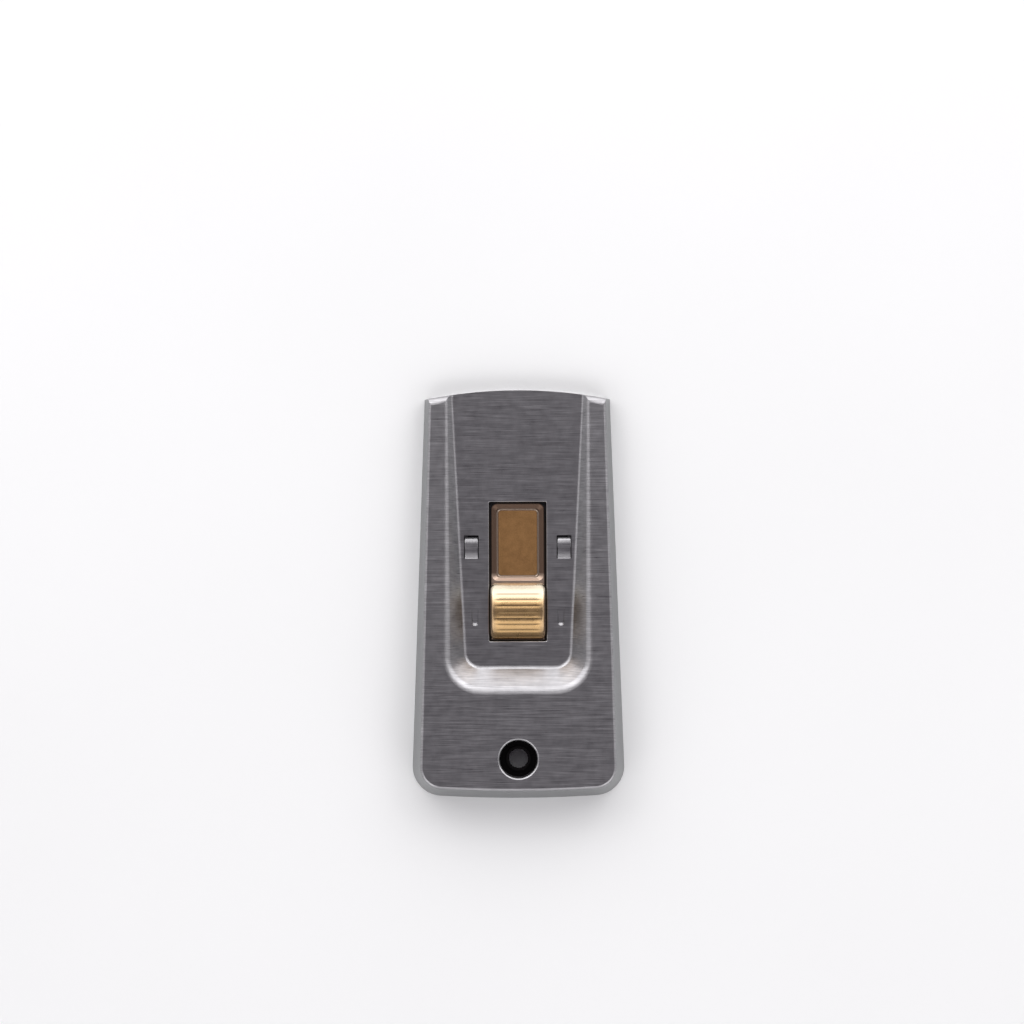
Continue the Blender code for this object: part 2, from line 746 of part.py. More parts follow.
def guide_rail(cover, side):
    """A bead pressed into the back cover, on whose crest the carrier slides."""
    middle = side * RAIL_SPACING / 2
    y = FRONT_CORNER_Y - RAIL_FRONT_MARGIN - RAIL_LENGTH / 2
    root = COVER_SHEET / 2
    spread = root / math.tan(RAIL_SLOPE)
    lean = (RAIL_HEIGHT + root) / math.tan(RAIL_SLOPE)
    crest = stadium(middle, y, RAIL_WIDTH + 2 * spread, RAIL_LENGTH + 2 * spread)
    bm = bmesh.new()
    prism(bm, crest, root, RAIL_TOP, inset=lean)
    join(cover, add_cutter(f"rail_crest_{side}", bm))
    narrower = 2 * (COVER_SHEET * math.tan(RAIL_SLOPE / 2) - spread)
    groove = stadium(middle, y, RAIL_WIDTH - narrower, RAIL_LENGTH - narrower)
    bm = bmesh.new()
    prism(bm, groove, -root, RAIL_HEIGHT, inset=lean)
    cut(cover, add_cutter(f"rail_groove_{side}", bm))


def back_hole(cover):
    """The back cover's hang hole, with its collar drawn up into the body."""
    origin = (0, HANG_HOLE_Y, 0)
    inside = COVER_SHEET / 2
    outer = BACK_HOLE_RADIUS + COVER_SHEET
    rim = COVER_SHEET + BACK_COLLAR_HEIGHT
    plug = [(0, rim), (outer, rim), (outer, inside), (0, inside)]
    join(cover, turned_cutter("back_collar", plug, RING_STEPS, origin))
    flare = BACK_HOLE_RADIUS + HANG_LIP_RADIUS
    profile = [(0, rim + OVERRUN), (BACK_HOLE_RADIUS, rim + OVERRUN)]
    for step in range(BEND_STEPS + 1):
        angle = LIP_TURN * step / BEND_STEPS
        profile.append((flare - HANG_LIP_RADIUS * math.cos(angle), HANG_LIP_RADIUS * (1 - math.sin(angle))))
    profile += [(flare, -OVERRUN), (0, -OVERRUN)]
    cut(cover, turned_cutter("back_bore", profile, RING_STEPS, origin))


def slide_outline():
    """The thumb slide's sheet: a tongue under the window's front, and side flanges behind it."""
    tongue = SLIDE_WIDTH / 2
    flange = tongue + FLANGE_BESIDE_PAN
    shoulder = SLIDE_FRONT - TONGUE_LENGTH
    rear = HUMP_REAR - FLANGE_TAIL
    return rounded_outline(
        [
            (tongue, SLIDE_FRONT, PAN_CORNER_RADIUS),
            (-tongue, SLIDE_FRONT, PAN_CORNER_RADIUS),
            (-tongue, shoulder, 0),
            (-flange, shoulder, 0),
            (-flange, rear, 0),
            (flange, rear, 0),
            (flange, shoulder, 0),
            (tongue, shoulder, 0),
        ],
        BEND_STEPS,
    )


def pan_outline(inward):
    """The pan's rim, drawn in by an even offset."""
    half = SLIDE_WIDTH / 2 - inward
    radius = PAN_CORNER_RADIUS - inward
    front = SLIDE_FRONT - inward
    rear = PAN_REAR - PAN_RIM + inward
    corners = [(half, front, radius), (-half, front, radius), (-half, rear, radius), (half, rear, radius)]
    return rounded_outline(corners, BEND_STEPS)


def press_pan(slide):
    """Presses the pan into the slide's sheet, with a fine bead along the border of its floor."""
    inside = SLIDE_SHEET / 2
    bm = bmesh.new()
    face = flat_face(bm, pan_outline(2 * PAN_RIM), SLIDE_TOP - inside, upwards=False)
    draw(bm, face, SLIDE_SHEET, SLIDE_TOP - inside - PAN_BOTTOM)
    close(bm)
    join(slide, add_cutter("pan_bulge", bm))
    bm = bmesh.new()
    face = flat_face(bm, pan_outline(PAN_RIM), SLIDE_TOP + OVERRUN, upwards=False)
    draw(bm, face, 0, OVERRUN)
    draw(bm, face, PAN_WALL, SLIDE_TOP - PAN_FLOOR)
    for rise in (BEAD_HEIGHT, 0, -BEAD_HEIGHT):
        draw(bm, face, BEAD_FLANK, -rise)
    close(bm)
    cut(slide, add_cutter("pan_hollow", bm))


def hump_block(inward, bottom):
    """The thumb hump as a block, with an arched side profile and rounded edges and corners."""
    half = SLIDE_WIDTH / 2 - inward
    front = HUMP_FRONT - inward
    rear = HUMP_REAR + inward
    rise = HUMP_RISE - inward
    middle = (front + rear) / 2
    chord = (front - rear) / 2
    radius = (chord**2 + rise**2) / (2 * rise)
    half_angle = math.asin(chord / radius)
    path = [(front, bottom - OVERRUN)]
    for step in range(HUMP_STEPS + 1):
        angle = half_angle * (1 - 2 * step / HUMP_STEPS)
        drop = radius * (1 - math.cos(angle))
        path.append((middle + radius * math.sin(angle), SLIDE_TOP + rise - drop))
    path.append((rear, bottom - OVERRUN))
    bm = bmesh.new()
    side = bm.faces.new([bm.verts.new((-half, y, z)) for y, z in path])
    grown = bmesh.ops.extrude_face_region(bm, geom=[side])
    moved = [part for part in grown["geom"] if isinstance(part, bmesh.types.BMVert)]
    bmesh.ops.translate(bm, verts=moved, vec=(2 * half, 0, 0))
    bmesh.ops.recalc_face_normals(bm, faces=bm.faces)
    edges = []
    for edge in bm.edges:
        across = abs(edge.verts[0].co.x - edge.verts[1].co.x) > half
        low = max(vertex.co.z for vertex in edge.verts) < bottom
        if not across and not low:
            edges.append(edge)
    bmesh.ops.bevel(
        bm,
        geom=edges,
        offset=HUMP_EDGE_RADIUS - inward,
        segments=BEND_STEPS,
        profile=ROUND_PROFILE_SHARE,
        affect="EDGES",
        material=-1,
    )
    for share in CROWN_SHARES:
        everything = bm.verts[:] + bm.edges[:] + bm.faces[:]
        bmesh.ops.bisect_plane(bm, geom=everything, plane_co=(half * share, 0, 0), plane_no=(1, 0, 0))
    for vertex in bm.verts:
        raised = max(0, vertex.co.z - SLIDE_TOP) / rise
        vertex.co.z -= HUMP_CROWN * raised * (vertex.co.x / half) ** 2
    everything = bm.verts[:] + bm.edges[:] + bm.faces[:]
    bmesh.ops.bisect_plane(bm, geom=everything, plane_co=(0, 0, bottom), plane_no=-UP, clear_outer=True)
    close(bm)
    return bm


def raise_hump(slide):
    """Draws the hollow hump up from the slide's sheet, with ribs across its crown."""
    join(slide, add_cutter("hump", hump_block(0, SLIDE_TOP - SLIDE_SHEET / 2)))
    bm = bmesh.new()
    half = SLIDE_WIDTH / 2 - RIB_MARGIN
    for index in range(RIB_COUNT):
        front = HUMP_FRONT - RIB_FRONT_MARGIN - RIB_PITCH * index
        box(bm, (-half, front - RIB_WIDTH, SLIDE_TOP + SLIDE_SHEET), (half, front, HUMP_TOP + OVERRUN))
    ribs = add_cutter("ribs", bm)
    keep_inside(ribs, add_cutter("rib_crests", hump_block(-RIB_HEIGHT, SLIDE_TOP)))
    join(slide, ribs)
    cut(slide, add_cutter("hump_hollow", hump_block(SLIDE_SHEET, SLIDE_TOP - SLIDE_SHEET - OVERRUN)))


def clinch_tabs(slide):
    """The four tabs that go down through the carrier and are folded in beneath it."""
    near = CLINCH_OUTER - SLIDE_SHEET
    far = CLINCH_OUTER - CLINCH_REACH
    top = SLIDE_TOP - SLIDE_SHEET * TAB_ROOT_SHARE
    bottom = CARRIER_BOTTOM - CLINCH_GAP - SLIDE_SHEET
    fold = bottom + SLIDE_SHEET
    hook = [
        (CLINCH_OUTER, bottom),
        (CLINCH_OUTER, top),
        (near, top),
        (near, fold),
        (far, fold),
        (far, bottom),
    ]
    bm = bmesh.new()
    for side in (-1, 1):
        for y in CLINCH_PLACES:
            face = bm.faces.new([bm.verts.new((side * x, y - CLINCH_LENGTH / 2, z)) for x, z in hook])
            grown = bmesh.ops.extrude_face_region(bm, geom=[face])
            moved = [part for part in grown["geom"] if isinstance(part, bmesh.types.BMVert)]
            bmesh.ops.translate(bm, verts=moved, vec=(0, CLINCH_LENGTH, 0))
    join(slide, add_cutter("clinch_tabs", bm))


def thumb_slide():
    """Brass-coloured thumb slide: a flanged sheet with a pan pressed down and a ribbed hump drawn up."""
    bm = bmesh.new()
    prism(bm, slide_outline(), SLIDE_TOP - SLIDE_SHEET, SLIDE_TOP)
    slide = add_object("thumb_slide", bm, parts)
    clinch_tabs(slide)
    press_pan(slide)
    raise_hump(slide)
    return slide


def carrier_outline():
    """The carrier's sheet: a wide head under the blade, and a neck notched beside the spring's ends."""
    head = CARRIER_WIDTH / 2
    neck = CARRIER_NECK_WIDTH / 2
    waist = SPRING_RELIEF_WIDTH / 2
    front = CARRIER_FRONT
    shoulder = CARRIER_HEAD_REAR
    rear = CARRIER_FRONT - CARRIER_LENGTH
    relief = SPRING_WIDTH / 2 + SPRING_RELIEF_MARGIN
    right = [
        (neck, rear, CARRIER_CORNER_RADIUS),
        (neck, SPRING_MIDDLE - relief, 0),
        (waist, SPRING_MIDDLE - relief, 0),
        (waist, SPRING_MIDDLE + relief, 0),
        (neck, SPRING_MIDDLE + relief, 0),
        (neck, shoulder, 0),
        (head, shoulder, 0),
        (head, front, CARRIER_CORNER_RADIUS),
    ]
    left = [(-x, y, radius) for x, y, radius in reversed(right)]
    return rounded_outline(right + left, BEND_STEPS)


def blade_carrier():
    """Steel carrier with lugs and a stud that locate the blade, and rear lips that push its spine."""
    bm = bmesh.new()
    prism(bm, carrier_outline(), CARRIER_BOTTOM, CARRIER_TOP)
    carrier = add_object("blade_carrier", bm, parts)
    root = CARRIER_BOTTOM + CARRIER_SHEET / 2
    bm = bmesh.new()
    head = CARRIER_WIDTH / 2
    lug = (NOTCH_WIDTH - 2 * LUG_CLEARANCE) / 2
    stud = SLOT_WIDTH - 2 * LUG_CLEARANCE
    prism(bm, stadium(0, NOTCH_Y, stud, SLOT_LENGTH - 2 * LUG_CLEARANCE), root, LUG_TOP)
    for side in (-1, 1):
        inner, outer = sorted((side * (head - CARRIER_SHEET), side * head))
        box(bm, (inner, NOTCH_Y - lug, root), (outer, NOTCH_Y + lug, LUG_TOP))
        lip = (SLIDE_WIDTH / 2 + LIP_BESIDE_SLIDE, BLADE_WIDTH / 2 - LIP_INSIDE_BLADE)
        left, right = sorted(side * x for x in lip)
        box(bm, (left, CARRIER_HEAD_REAR, root), (right, CARRIER_HEAD_REAR + CARRIER_SHEET, LIP_TOP))
    join(carrier, add_cutter("lugs_and_lips", bm))

    bm = bmesh.new()
    low = CARRIER_BOTTOM - OVERRUN
    high = CARRIER_TOP + OVERRUN
    for side in (-1, 1):
        inner = CLINCH_OUTER - SLIDE_SHEET - SEAT_GAP
        near, far = sorted((side * inner, side * (CLINCH_OUTER + SEAT_GAP)))
        for y in CLINCH_PLACES:
            half = CLINCH_LENGTH / 2 + SEAT_GAP
            box(bm, (near, y - half, low), (far, y + half, high))
    cut(carrier, add_cutter("tab_holes", bm))
    for side in (-1, 1):
        rivet_hole(carrier, side)
    return carrier


def rivet_hole(piece, side):
    radius = RIVET_RADIUS + RIVET_FIT
    profile = [(0, SPRING_TOP + OVERRUN), (radius, SPRING_TOP + OVERRUN)]
    profile += [(radius, CARRIER_BOTTOM - OVERRUN), (0, CARRIER_BOTTOM - OVERRUN)]
    origin = (side * RIVET_SPACING / 2, SPRING_MIDDLE, 0)
    cut(piece, turned_cutter(f"{piece.name}_rivet_hole_{side}", profile, RIVET_STEPS, origin))


def lock_spring():
    """Leaf spring across the carrier, with two prongs bent up at the rear edge of its ends."""
    bm = bmesh.new()
    prong = lance_width() / 2 - PRONG_SIDE_MARGIN
    half = lance_middle() + prong + PRONG_END_MARGIN
    front = PRONG_REAR + SPRING_WIDTH
    corners = [
        (half, front, RIVET_RADIUS),
        (-half, front, RIVET_RADIUS),
        (-half, PRONG_REAR, 0),
        (half, PRONG_REAR, 0),
    ]
    prism(bm, rounded_outline(corners, BEND_STEPS), SPRING_BOTTOM, SPRING_TOP)
    spring = add_object("lock_spring", bm, parts)
    bm = bmesh.new()
    for side in (-1, 1):
        middle = side * lance_middle()
        low = (middle - prong, PRONG_REAR, SPRING_BOTTOM + SPRING_SHEET / 2)
        box(bm, low, (middle + prong, PRONG_REAR + SPRING_SHEET, SPRING_BOTTOM + PRONG_RISE))
    join(spring, add_cutter("prongs", bm))
    for side in (-1, 1):
        rivet_hole(spring, side)
    return spring


def spring_rivet(name, side):
    """Headed rivet through the spring and the carrier, its other end upset beneath."""
    head = SPRING_TOP + RIVET_FIT
    upset = CARRIER_BOTTOM - RIVET_FIT
    crown = head + RIVET_HEAD_HEIGHT
    profile = [
        (0, crown),
        (RIVET_HEAD_RADIUS - RIVET_HEAD_HEIGHT, crown),
        (RIVET_HEAD_RADIUS, head + RIVET_HEAD_HEIGHT / 2),
        (RIVET_HEAD_RADIUS, head),
        (RIVET_RADIUS, head),
        (RIVET_RADIUS, upset),
        (RIVET_HEAD_RADIUS, upset),
        (RIVET_HEAD_RADIUS, upset - RIVET_HEAD_HEIGHT),
        (0, upset - RIVET_HEAD_HEIGHT),
    ]
    return turned(name, profile, parts, RIVET_STEPS, (side * RIVET_SPACING / 2, SPRING_MIDDLE, 0))


def blade():
    """Single-edge blade with end notches, a middle slot and a ground cutting edge."""
    half = BLADE_WIDTH / 2
    low = NOTCH_Y - NOTCH_WIDTH / 2
    high = NOTCH_Y + NOTCH_WIDTH / 2
    inner = half - NOTCH_DEPTH
    rear = BLADE_REAR + SPINE_SHEET + SPINE_CLEARANCE
    right = [(half, rear), (half, low), (inner, low), (inner, high), (half, high), (half, CUTTING_EDGE)]
    left = [(-x, y) for x, y in reversed(right)]
    bm = bmesh.new()
    prism(bm, right + left, BLADE_MIDDLE - BLADE_THICKNESS / 2, BLADE_MIDDLE + BLADE_THICKNESS / 2)
    everything = bm.verts[:] + bm.edges[:] + bm.faces[:]
    bevel_start = CUTTING_EDGE - BLADE_BEVEL
    bmesh.ops.bisect_plane(bm, geom=everything, plane_co=(0, bevel_start, 0), plane_no=(0, 1, 0))
    thin = BLADE_EDGE_THICKNESS / BLADE_THICKNESS
    for vertex in bm.verts:
        if vertex.co.y > bevel_start + BLADE_BEVEL / 2:
            vertex.co.z = BLADE_MIDDLE + (vertex.co.z - BLADE_MIDDLE) * thin
    steel = add_object("blade", bm, parts)
    bm = bmesh.new()
    slot = stadium(0, NOTCH_Y, SLOT_WIDTH, SLOT_LENGTH)
    prism(bm, slot, SPINE_BOTTOM, SPINE_TOP)
    cut(steel, add_cutter("blade_slot", bm))
    return steel


def blade_spine():
    """The folded strip on the blade's back edge."""
    radius = SPINE_HEIGHT / 2
    front = BLADE_REAR + SPINE_DEPTH
    path = [(front, SPINE_BOTTOM)]
    for step in range(FOLD_STEPS + 1):
        angle = math.pi * step / FOLD_STEPS
        y = BLADE_REAR + radius - radius * math.sin(angle)
        path.append((y, BLADE_MIDDLE - radius * math.cos(angle)))
    path.append((front, SPINE_TOP))
    bm = bmesh.new()
    strip(bm, path, BLADE_WIDTH / 2)
    look_away(bm, (0, front, BLADE_MIDDLE))
    spine = add_open_object("blade_spine", bm, parts)
    add_solidify(spine, SPINE_SHEET)
    return spine


clear_scene()
parts = collection("metal_scraper")
cutters = collection("cutters")
LOOKS = {
    "front_cover": ((0.42, 0.41, 0.43), 0.35),
    "back_cover": ((0.42, 0.41, 0.43), 0.4),
    "thumb_slide": ((0.62, 0.45, 0.24), 0.3),
    "blade_carrier": ((0.45, 0.45, 0.46), 0.4),
    "lock_spring": ((0.3, 0.32, 0.36), 0.35),
    "spring_rivet_left": ((0.5, 0.5, 0.5), 0.4),
    "spring_rivet_right": ((0.5, 0.5, 0.5), 0.4),
    "blade": ((0.55, 0.56, 0.58), 0.25),
    "blade_spine": ((0.5, 0.52, 0.55), 0.3),
}
covers = [front_cover(), back_cover()]
sliding = [
    thumb_slide(),
    blade_carrier(),
    lock_spring(),
    spring_rivet("spring_rivet_left", -1),
    spring_rivet("spring_rivet_right", 1),
    blade(),
    blade_spine(),
]
for piece in covers + sliding:
    colour, roughness = LOOKS[piece.name]
    piece.data.materials.append(material(piece.name, colour, roughness))
travel = bpy.data.objects.new("slide_travel", None)
parts.objects.link(travel)
for piece in sliding:
    piece.parent = travel
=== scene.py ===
import math

import bmesh
import bpy
from mathutils import Matrix, Vector


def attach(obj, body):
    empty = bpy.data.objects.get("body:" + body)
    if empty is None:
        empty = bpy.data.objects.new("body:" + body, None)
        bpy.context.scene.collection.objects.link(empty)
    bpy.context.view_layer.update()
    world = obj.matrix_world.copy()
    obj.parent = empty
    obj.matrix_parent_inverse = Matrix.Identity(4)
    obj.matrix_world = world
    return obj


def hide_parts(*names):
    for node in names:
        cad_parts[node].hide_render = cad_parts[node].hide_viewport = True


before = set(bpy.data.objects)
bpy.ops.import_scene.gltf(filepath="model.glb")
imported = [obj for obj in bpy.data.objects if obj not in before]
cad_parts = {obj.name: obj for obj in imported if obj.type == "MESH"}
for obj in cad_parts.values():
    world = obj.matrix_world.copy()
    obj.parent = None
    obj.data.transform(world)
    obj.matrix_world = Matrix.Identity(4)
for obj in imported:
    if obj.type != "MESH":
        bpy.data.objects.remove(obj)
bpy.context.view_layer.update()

# Body and its slopes
SHEET = 0.0006
FRONT = 0.04485
REAR = -0.04485
FRONT_CORNER = 0.04285
FRONT_HALF_WIDTH = 0.02038
SIDE_TAPER = math.radians(2.07)
DRAFT = math.radians(11)
WEDGE = math.radians(2.86)
REAR_SLOPE = math.radians(3.2)
REAR_BOW_SHARE = 0.64
REAR_CORNER_RADIUS = 0.0065
FRONT_BOW = 0.002
OVERRUN = 0.002

# Recess between the two ridges, and the ridges' noses at the blade end
FLOOR = 0.00388
FLOOR_UNDERSIDE = FLOOR - SHEET
RIDGE_FRONT_TOP = 0.00513
RECESS_MOUTH = 0.0312
RECESS_REAR = -0.0205
RECESS_REAR_LEAN = 0.09
RECESS_CORNER_RADIUS = 0.0034
NOSE_HEIGHT = 0.00135
NOSE_LENGTH = 0.0021

# Bends of the front cover. A pair is a bend at the blade end and how much it grows to the rear
SIDE_BEND = 0.00062
RIDGE_BEND = (0.0005, 0.00065)
FOOT_BEND = (0.00032, 0.00022)
BEND_GROWTH_LENGTH = 0.062
WIDEST_BEND = 0.002

# Window in the recess floor
WINDOW_HALF_WIDTH = 0.0063
WINDOW_FRONT = 0.0203
WINDOW_REAR = -0.0103

# Lanced tabs. A tab steps down behind its fold by points (way past the fold, rise above its root)
LANCE_X = 0.0102
LANCE_HALF_WIDTH = 0.00163
LANCE_SIDE_GAP = 0.0001
LANCE_SHEET = 0.00052
LANCE_FOLD = 0.00785
LANCE_TIP = 0.01253
LANCE_SLOT_FRONT = 0.01298
LANCE_ROOT = FLOOR - 0.00004
LANCE_FLAT = LANCE_ROOT - 0.0004
LANCE_CREST = LANCE_ROOT - 0.00008
LANCE_STEP = ((-0.001, 0), (-0.0001, 0), (0.0001, -0.00016), (0.0013, -0.0004), (0.0021, -0.00034))
LANCE_CURL = 0.0024
LANCE_TURN = math.radians(40)

# Darts. Foot and mouth are (half width, way from the dart's rear end, corner radius)
DART_X = 0.00944
DART_FRONT = -0.0033
DART_REAR = -0.007
DART_FOOT = (0.0005, 0.0007, 0.0003)
DART_MOUTH = (0.0008, 0, 0.0007)
DART_FALL = 0.00044
DART_DEPTH = 0.00014
DART_BULGE_SHEET = 0.00025
DART_BULGE_DEPTH = 0.00048

# Hang hole, drawn in from both covers
HOLE_Y = -0.0361
HOLE_RADIUS = 0.00395
COLLAR_DEPTH = 0.0016
BACK_HOLE_RADIUS = 0.0021
LIP_RADIUS = 0.0011
LIP_SLOPE = math.radians(24)
LIP_FOOT_SLOPE = math.radians(82)

# Back cover
NESTING_GAP = 0.00015
BACK_HEIGHT = 0.0026
BACK_FLANGE_LENGTH = 0.0618

# Thumb slide: its plate
SLIDE_SHEET = 0.0004
SLIDE_TOP = 0.00298
SLIDE_UNDERSIDE = SLIDE_TOP - SLIDE_SHEET
SLIDE_FRONT = 0.01995
TONGUE_HALF_WIDTH = 0.0058
TONGUE_RADIUS = 0.0013
FLANGE_HALF_WIDTH = 0.0073
FLANGE_SET_BACK = 0.0038
FLANGE_BEHIND_HUMP = 0.0018

# Thumb slide: the pan and its floor
PAN_REAR = 0.00296
PAN_MARGIN = 0.00012
PAN_RADIUS = 0.00118
PAN_DEPTH = 0.00063
PAN_FLOOR_HALF_WIDTH = 0.0042
PAN_FLOOR_FRONT = 0.01838
PAN_FLOOR_REAR = 0.0042
PAN_FLOOR_RADIUS = 0.0006

# Thumb slide: the ribbed hump. A grid is (way between cuts along Y, way between cuts along X)
HUMP_HALF_WIDTH = 0.00608
HUMP_FRONT = 0.00251
HUMP_REAR = -0.00989
HUMP_RISE = 0.0039
HUMP_RAMP = 0.0012
HUMP_RAMP_ANGLE = math.radians(45)
HUMP_ROLL = 0.0007
HUMP_WALL_DRAFT = 0.00008
RIBS_FRONT = 0.00009
RIB_PITCH = 0.00132
RIBS = 7
RIB_HALF_LENGTH = 0.0052
RIB_HEIGHT = 0.000085
SKIN_GRID = (0.0001, 0.0005)
HOLLOW_GRID = (0.0006, 0.0012)

# Tabs that clinch the thumb slide to its carrier
CLINCH_PLACES = (0.01205, -0.00735)
CLINCH_X = 0.00584
CLINCH_TIP_X = 0.00404
CLINCH_BOTTOM = 0.0008
CLINCH_HALF = 0.0012
CLINCH_GAP = 0.00015

# Blade and the spine folded on its rear edge
BLADE_HALF_WIDTH = 0.01905
BLADE_MIDDLE = 0.002465
BLADE_THICKNESS = 0.00025
BLADE_REAR = 0.02025
CUTTING_EDGE = 0.0393
NOTCH_Y = 0.03095
SPINE_HALF_HEIGHT = 0.000515
SPINE_LENGTH = 0.0054

# Carrier
CARRIER_BOTTOM = 0.0013
CARRIER_TOP = 0.0018
HEAD_REAR = 0.0196
SPRING_Y = -0.00321
ABOVE_CARRIER = 0.004

# Limits for picking parts of a mesh, and the fineness of arcs
CHORD_ERROR = 0.000003
MERGE = 0.000002
NEAR = 0.0001
ON_FLOOR = 0.00002
THAT_WAY = 0.9
SHARP_RIM = 0.6
UP = Vector((0, 0, 1))

# Soft panels: name, azimuth, elevation, distance, width, height, radiance
PANELS = (
    ("blade_end_panel", 0, 22, 0.9, 1.0, 0.92, 1.83),
    ("high_blade_end_panel", 0, 62, 0.9, 0.9, 0.42, 0.55),
    ("left_panel", -90, 27, 0.9, 0.8, 0.9, 0.52),
    ("right_panel", 90, 27, 0.9, 0.8, 0.9, 0.46),
    ("rear_panel", 180, 28, 0.9, 0.9, 0.95, 0.75),
    ("front_corner_panel", 45, 28, 0.95, 0.6, 0.9, 1.8),
    ("rear_corner_panel", 135, 28, 0.95, 0.6, 0.9, 1.2),
    ("front_corner_panel", -45, 28, 0.95, 0.6, 0.9, 1.8),
    ("rear_corner_panel", 225, 28, 0.95, 0.6, 0.9, 1.2),
)

# Meshes

def linked(name, data):
    """A new object with some data, linked to the scene."""
    obj = bpy.data.objects.new(name, data)
    bpy.context.scene.collection.objects.link(obj)
    return obj


def mesh_object(name, bm):
    """A new object that takes over a bmesh."""
    mesh = bpy.data.meshes.new(name)
    bm.to_mesh(mesh)
    bm.free()
    return linked(name, mesh)


def modified(bm, kind, tool=None, **settings):
    """The bmesh after one modifier, with a tool bmesh where that is a boolean."""
    obj = mesh_object("work", bm)
    modifier = obj.modifiers.new("work", kind)
    used = [obj]
    if tool:
        used.append(mesh_object("work", tool))
        modifier.object = used[1]
    for name, value in settings.items():
        setattr(modifier, name, value)
    bpy.context.view_layer.update()
    evaluated = obj.evaluated_get(bpy.context.evaluated_depsgraph_get())
    mesh = bpy.data.meshes.new_from_object(evaluated)
    result = bmesh.new()
    result.from_mesh(mesh)
    bpy.data.meshes.remove(mesh)
    for old in used:
        data = old.data
        bpy.data.objects.remove(old)
        bpy.data.meshes.remove(data)
    bmesh.ops.remove_doubles(result, verts=result.verts, dist=MERGE)
    result.normal_update()
    return result


def cut(bm, tool, operation="DIFFERENCE"):
    return modified(bm, "BOOLEAN", tool, operation=operation, solver="EXACT")


def joined(bm, tool):
    return cut(bm, tool, "UNION")


def common(bm, tool):
    return cut(bm, tool, "INTERSECT")


def thickened(bm, sheet):
    """An open surface with its sheet on the inner side."""
    return modified(
        bm, "SOLIDIFY", thickness=sheet, offset=-1, use_even_offset=True, use_quality_normals=True
    )


def arc(centre, radius, first, turn, steps=0):
    """Points along an arc, both ends included."""
    steps = steps or max(2, math.ceil(abs(turn) / (2 * math.acos(1 - CHORD_ERROR / radius))))
    points = []
    for step in range(steps + 1):
        angle = first + turn * step / steps
        points.append(Vector(centre) + Vector((math.cos(angle), math.sin(angle))) * radius)
    return points


def rounded_outline(corners, steps=0):
    """Points of a closed outline, from corners (x, y, radius) given counter-clockwise."""
    points = []
    for index, (x, y, radius) in enumerate(corners):
        corner = Vector((x, y))
        if radius == 0:
            points.append(corner)
            continue
        before = (Vector(corners[index - 1][:2]) - corner).normalized()
        after = (Vector(corners[(index + 1) % len(corners)][:2]) - corner).normalized()
        half_angle = before.angle(after) / 2
        centre = corner + (before + after).normalized() * (radius / math.sin(half_angle))
        start = corner + before * (radius / math.tan(half_angle)) - centre
        end = corner + after * (radius / math.tan(half_angle)) - centre
        first = math.atan2(start.y, start.x)
        turn = math.remainder(math.atan2(end.y, end.x) - first, math.tau)
        points += arc(centre, radius, first, turn, steps)
    return points


def mirrored_outline(right):
    """A closed outline from the corners of its right half, given from the rear to the front."""
    return rounded_outline(right + [(-x, y, radius) for x, y, radius in reversed(right)])


def rectangle(left, right, rear, front, radius):
    return rounded_outline([
        (right, front, radius), (left, front, radius), (left, rear, radius), (right, rear, radius)
    ])


def stadium(x, y, width, length):
    """A slot's outline along Y with round ends."""
    reach = (length - width) / 2
    front = arc((x, y + reach), width / 2, 0, math.pi)
    return front + arc((x, y - reach), width / 2, math.pi, math.pi)


def draw(bm, face, inset, depth):
    """Moves a face out along its normal on new side walls, and draws it in by the inset."""
    bmesh.ops.inset_region(
        bm, faces=[face], thickness=inset, depth=depth, use_boundary=True, use_even_offset=True
    )


def draw_along(bm, face, profile):
    """Draws a face along a wall profile of (inset, depth) points that starts at its rim."""
    inset = depth = 0
    for next_inset, next_depth in profile:
        draw(bm, face, next_inset - inset, next_depth - depth)
        inset, depth = next_inset, next_depth


def face_outwards(bm):
    bmesh.ops.recalc_face_normals(bm, faces=bm.faces)


def move_grown(bm, grown, way):
    """Moves the points that an extrusion has made."""
    moved = [part for part in grown["geom"] if isinstance(part, bmesh.types.BMVert)]
    bmesh.ops.translate(bm, verts=moved, vec=way)


def close(bm):
    bmesh.ops.contextual_create(bm, geom=[edge for edge in bm.edges if edge.is_boundary])


def flat_face(bm, points, height):
    """A level face on an outline, which looks up."""
    face = bm.faces.new([bm.verts.new((x, y, height)) for x, y in points])
    face.normal_update()
    if face.normal.z < 0:
        face.normal_flip()
    return face


def prism(points, bottom, top, inset=0):
    """A closed block on an outline, whose top is drawn in by the inset."""
    bm = bmesh.new()
    draw(bm, flat_face(bm, points, bottom), inset, top - bottom)
    close(bm)
    face_outwards(bm)
    return bm


def box(low, high):
    bm = bmesh.new()
    low, high = Vector(low), Vector(high)
    bmesh.ops.create_cube(
        bm, size=1, matrix=Matrix.LocRotScale((low + high) / 2, None, high - low)
    )
    return bm


def bisect(bm, faces, point, normal, clear=False):
    """Cuts faces by a plane, and clears away what lies beyond it where asked."""
    parts = dict.fromkeys(faces)
    parts.update(dict.fromkeys(edge for face in faces for edge in face.edges))
    parts.update(dict.fromkeys(vertex for face in faces for vertex in face.verts))
    bmesh.ops.bisect_plane(bm, geom=list(parts), plane_co=point, plane_no=normal, clear_outer=clear)


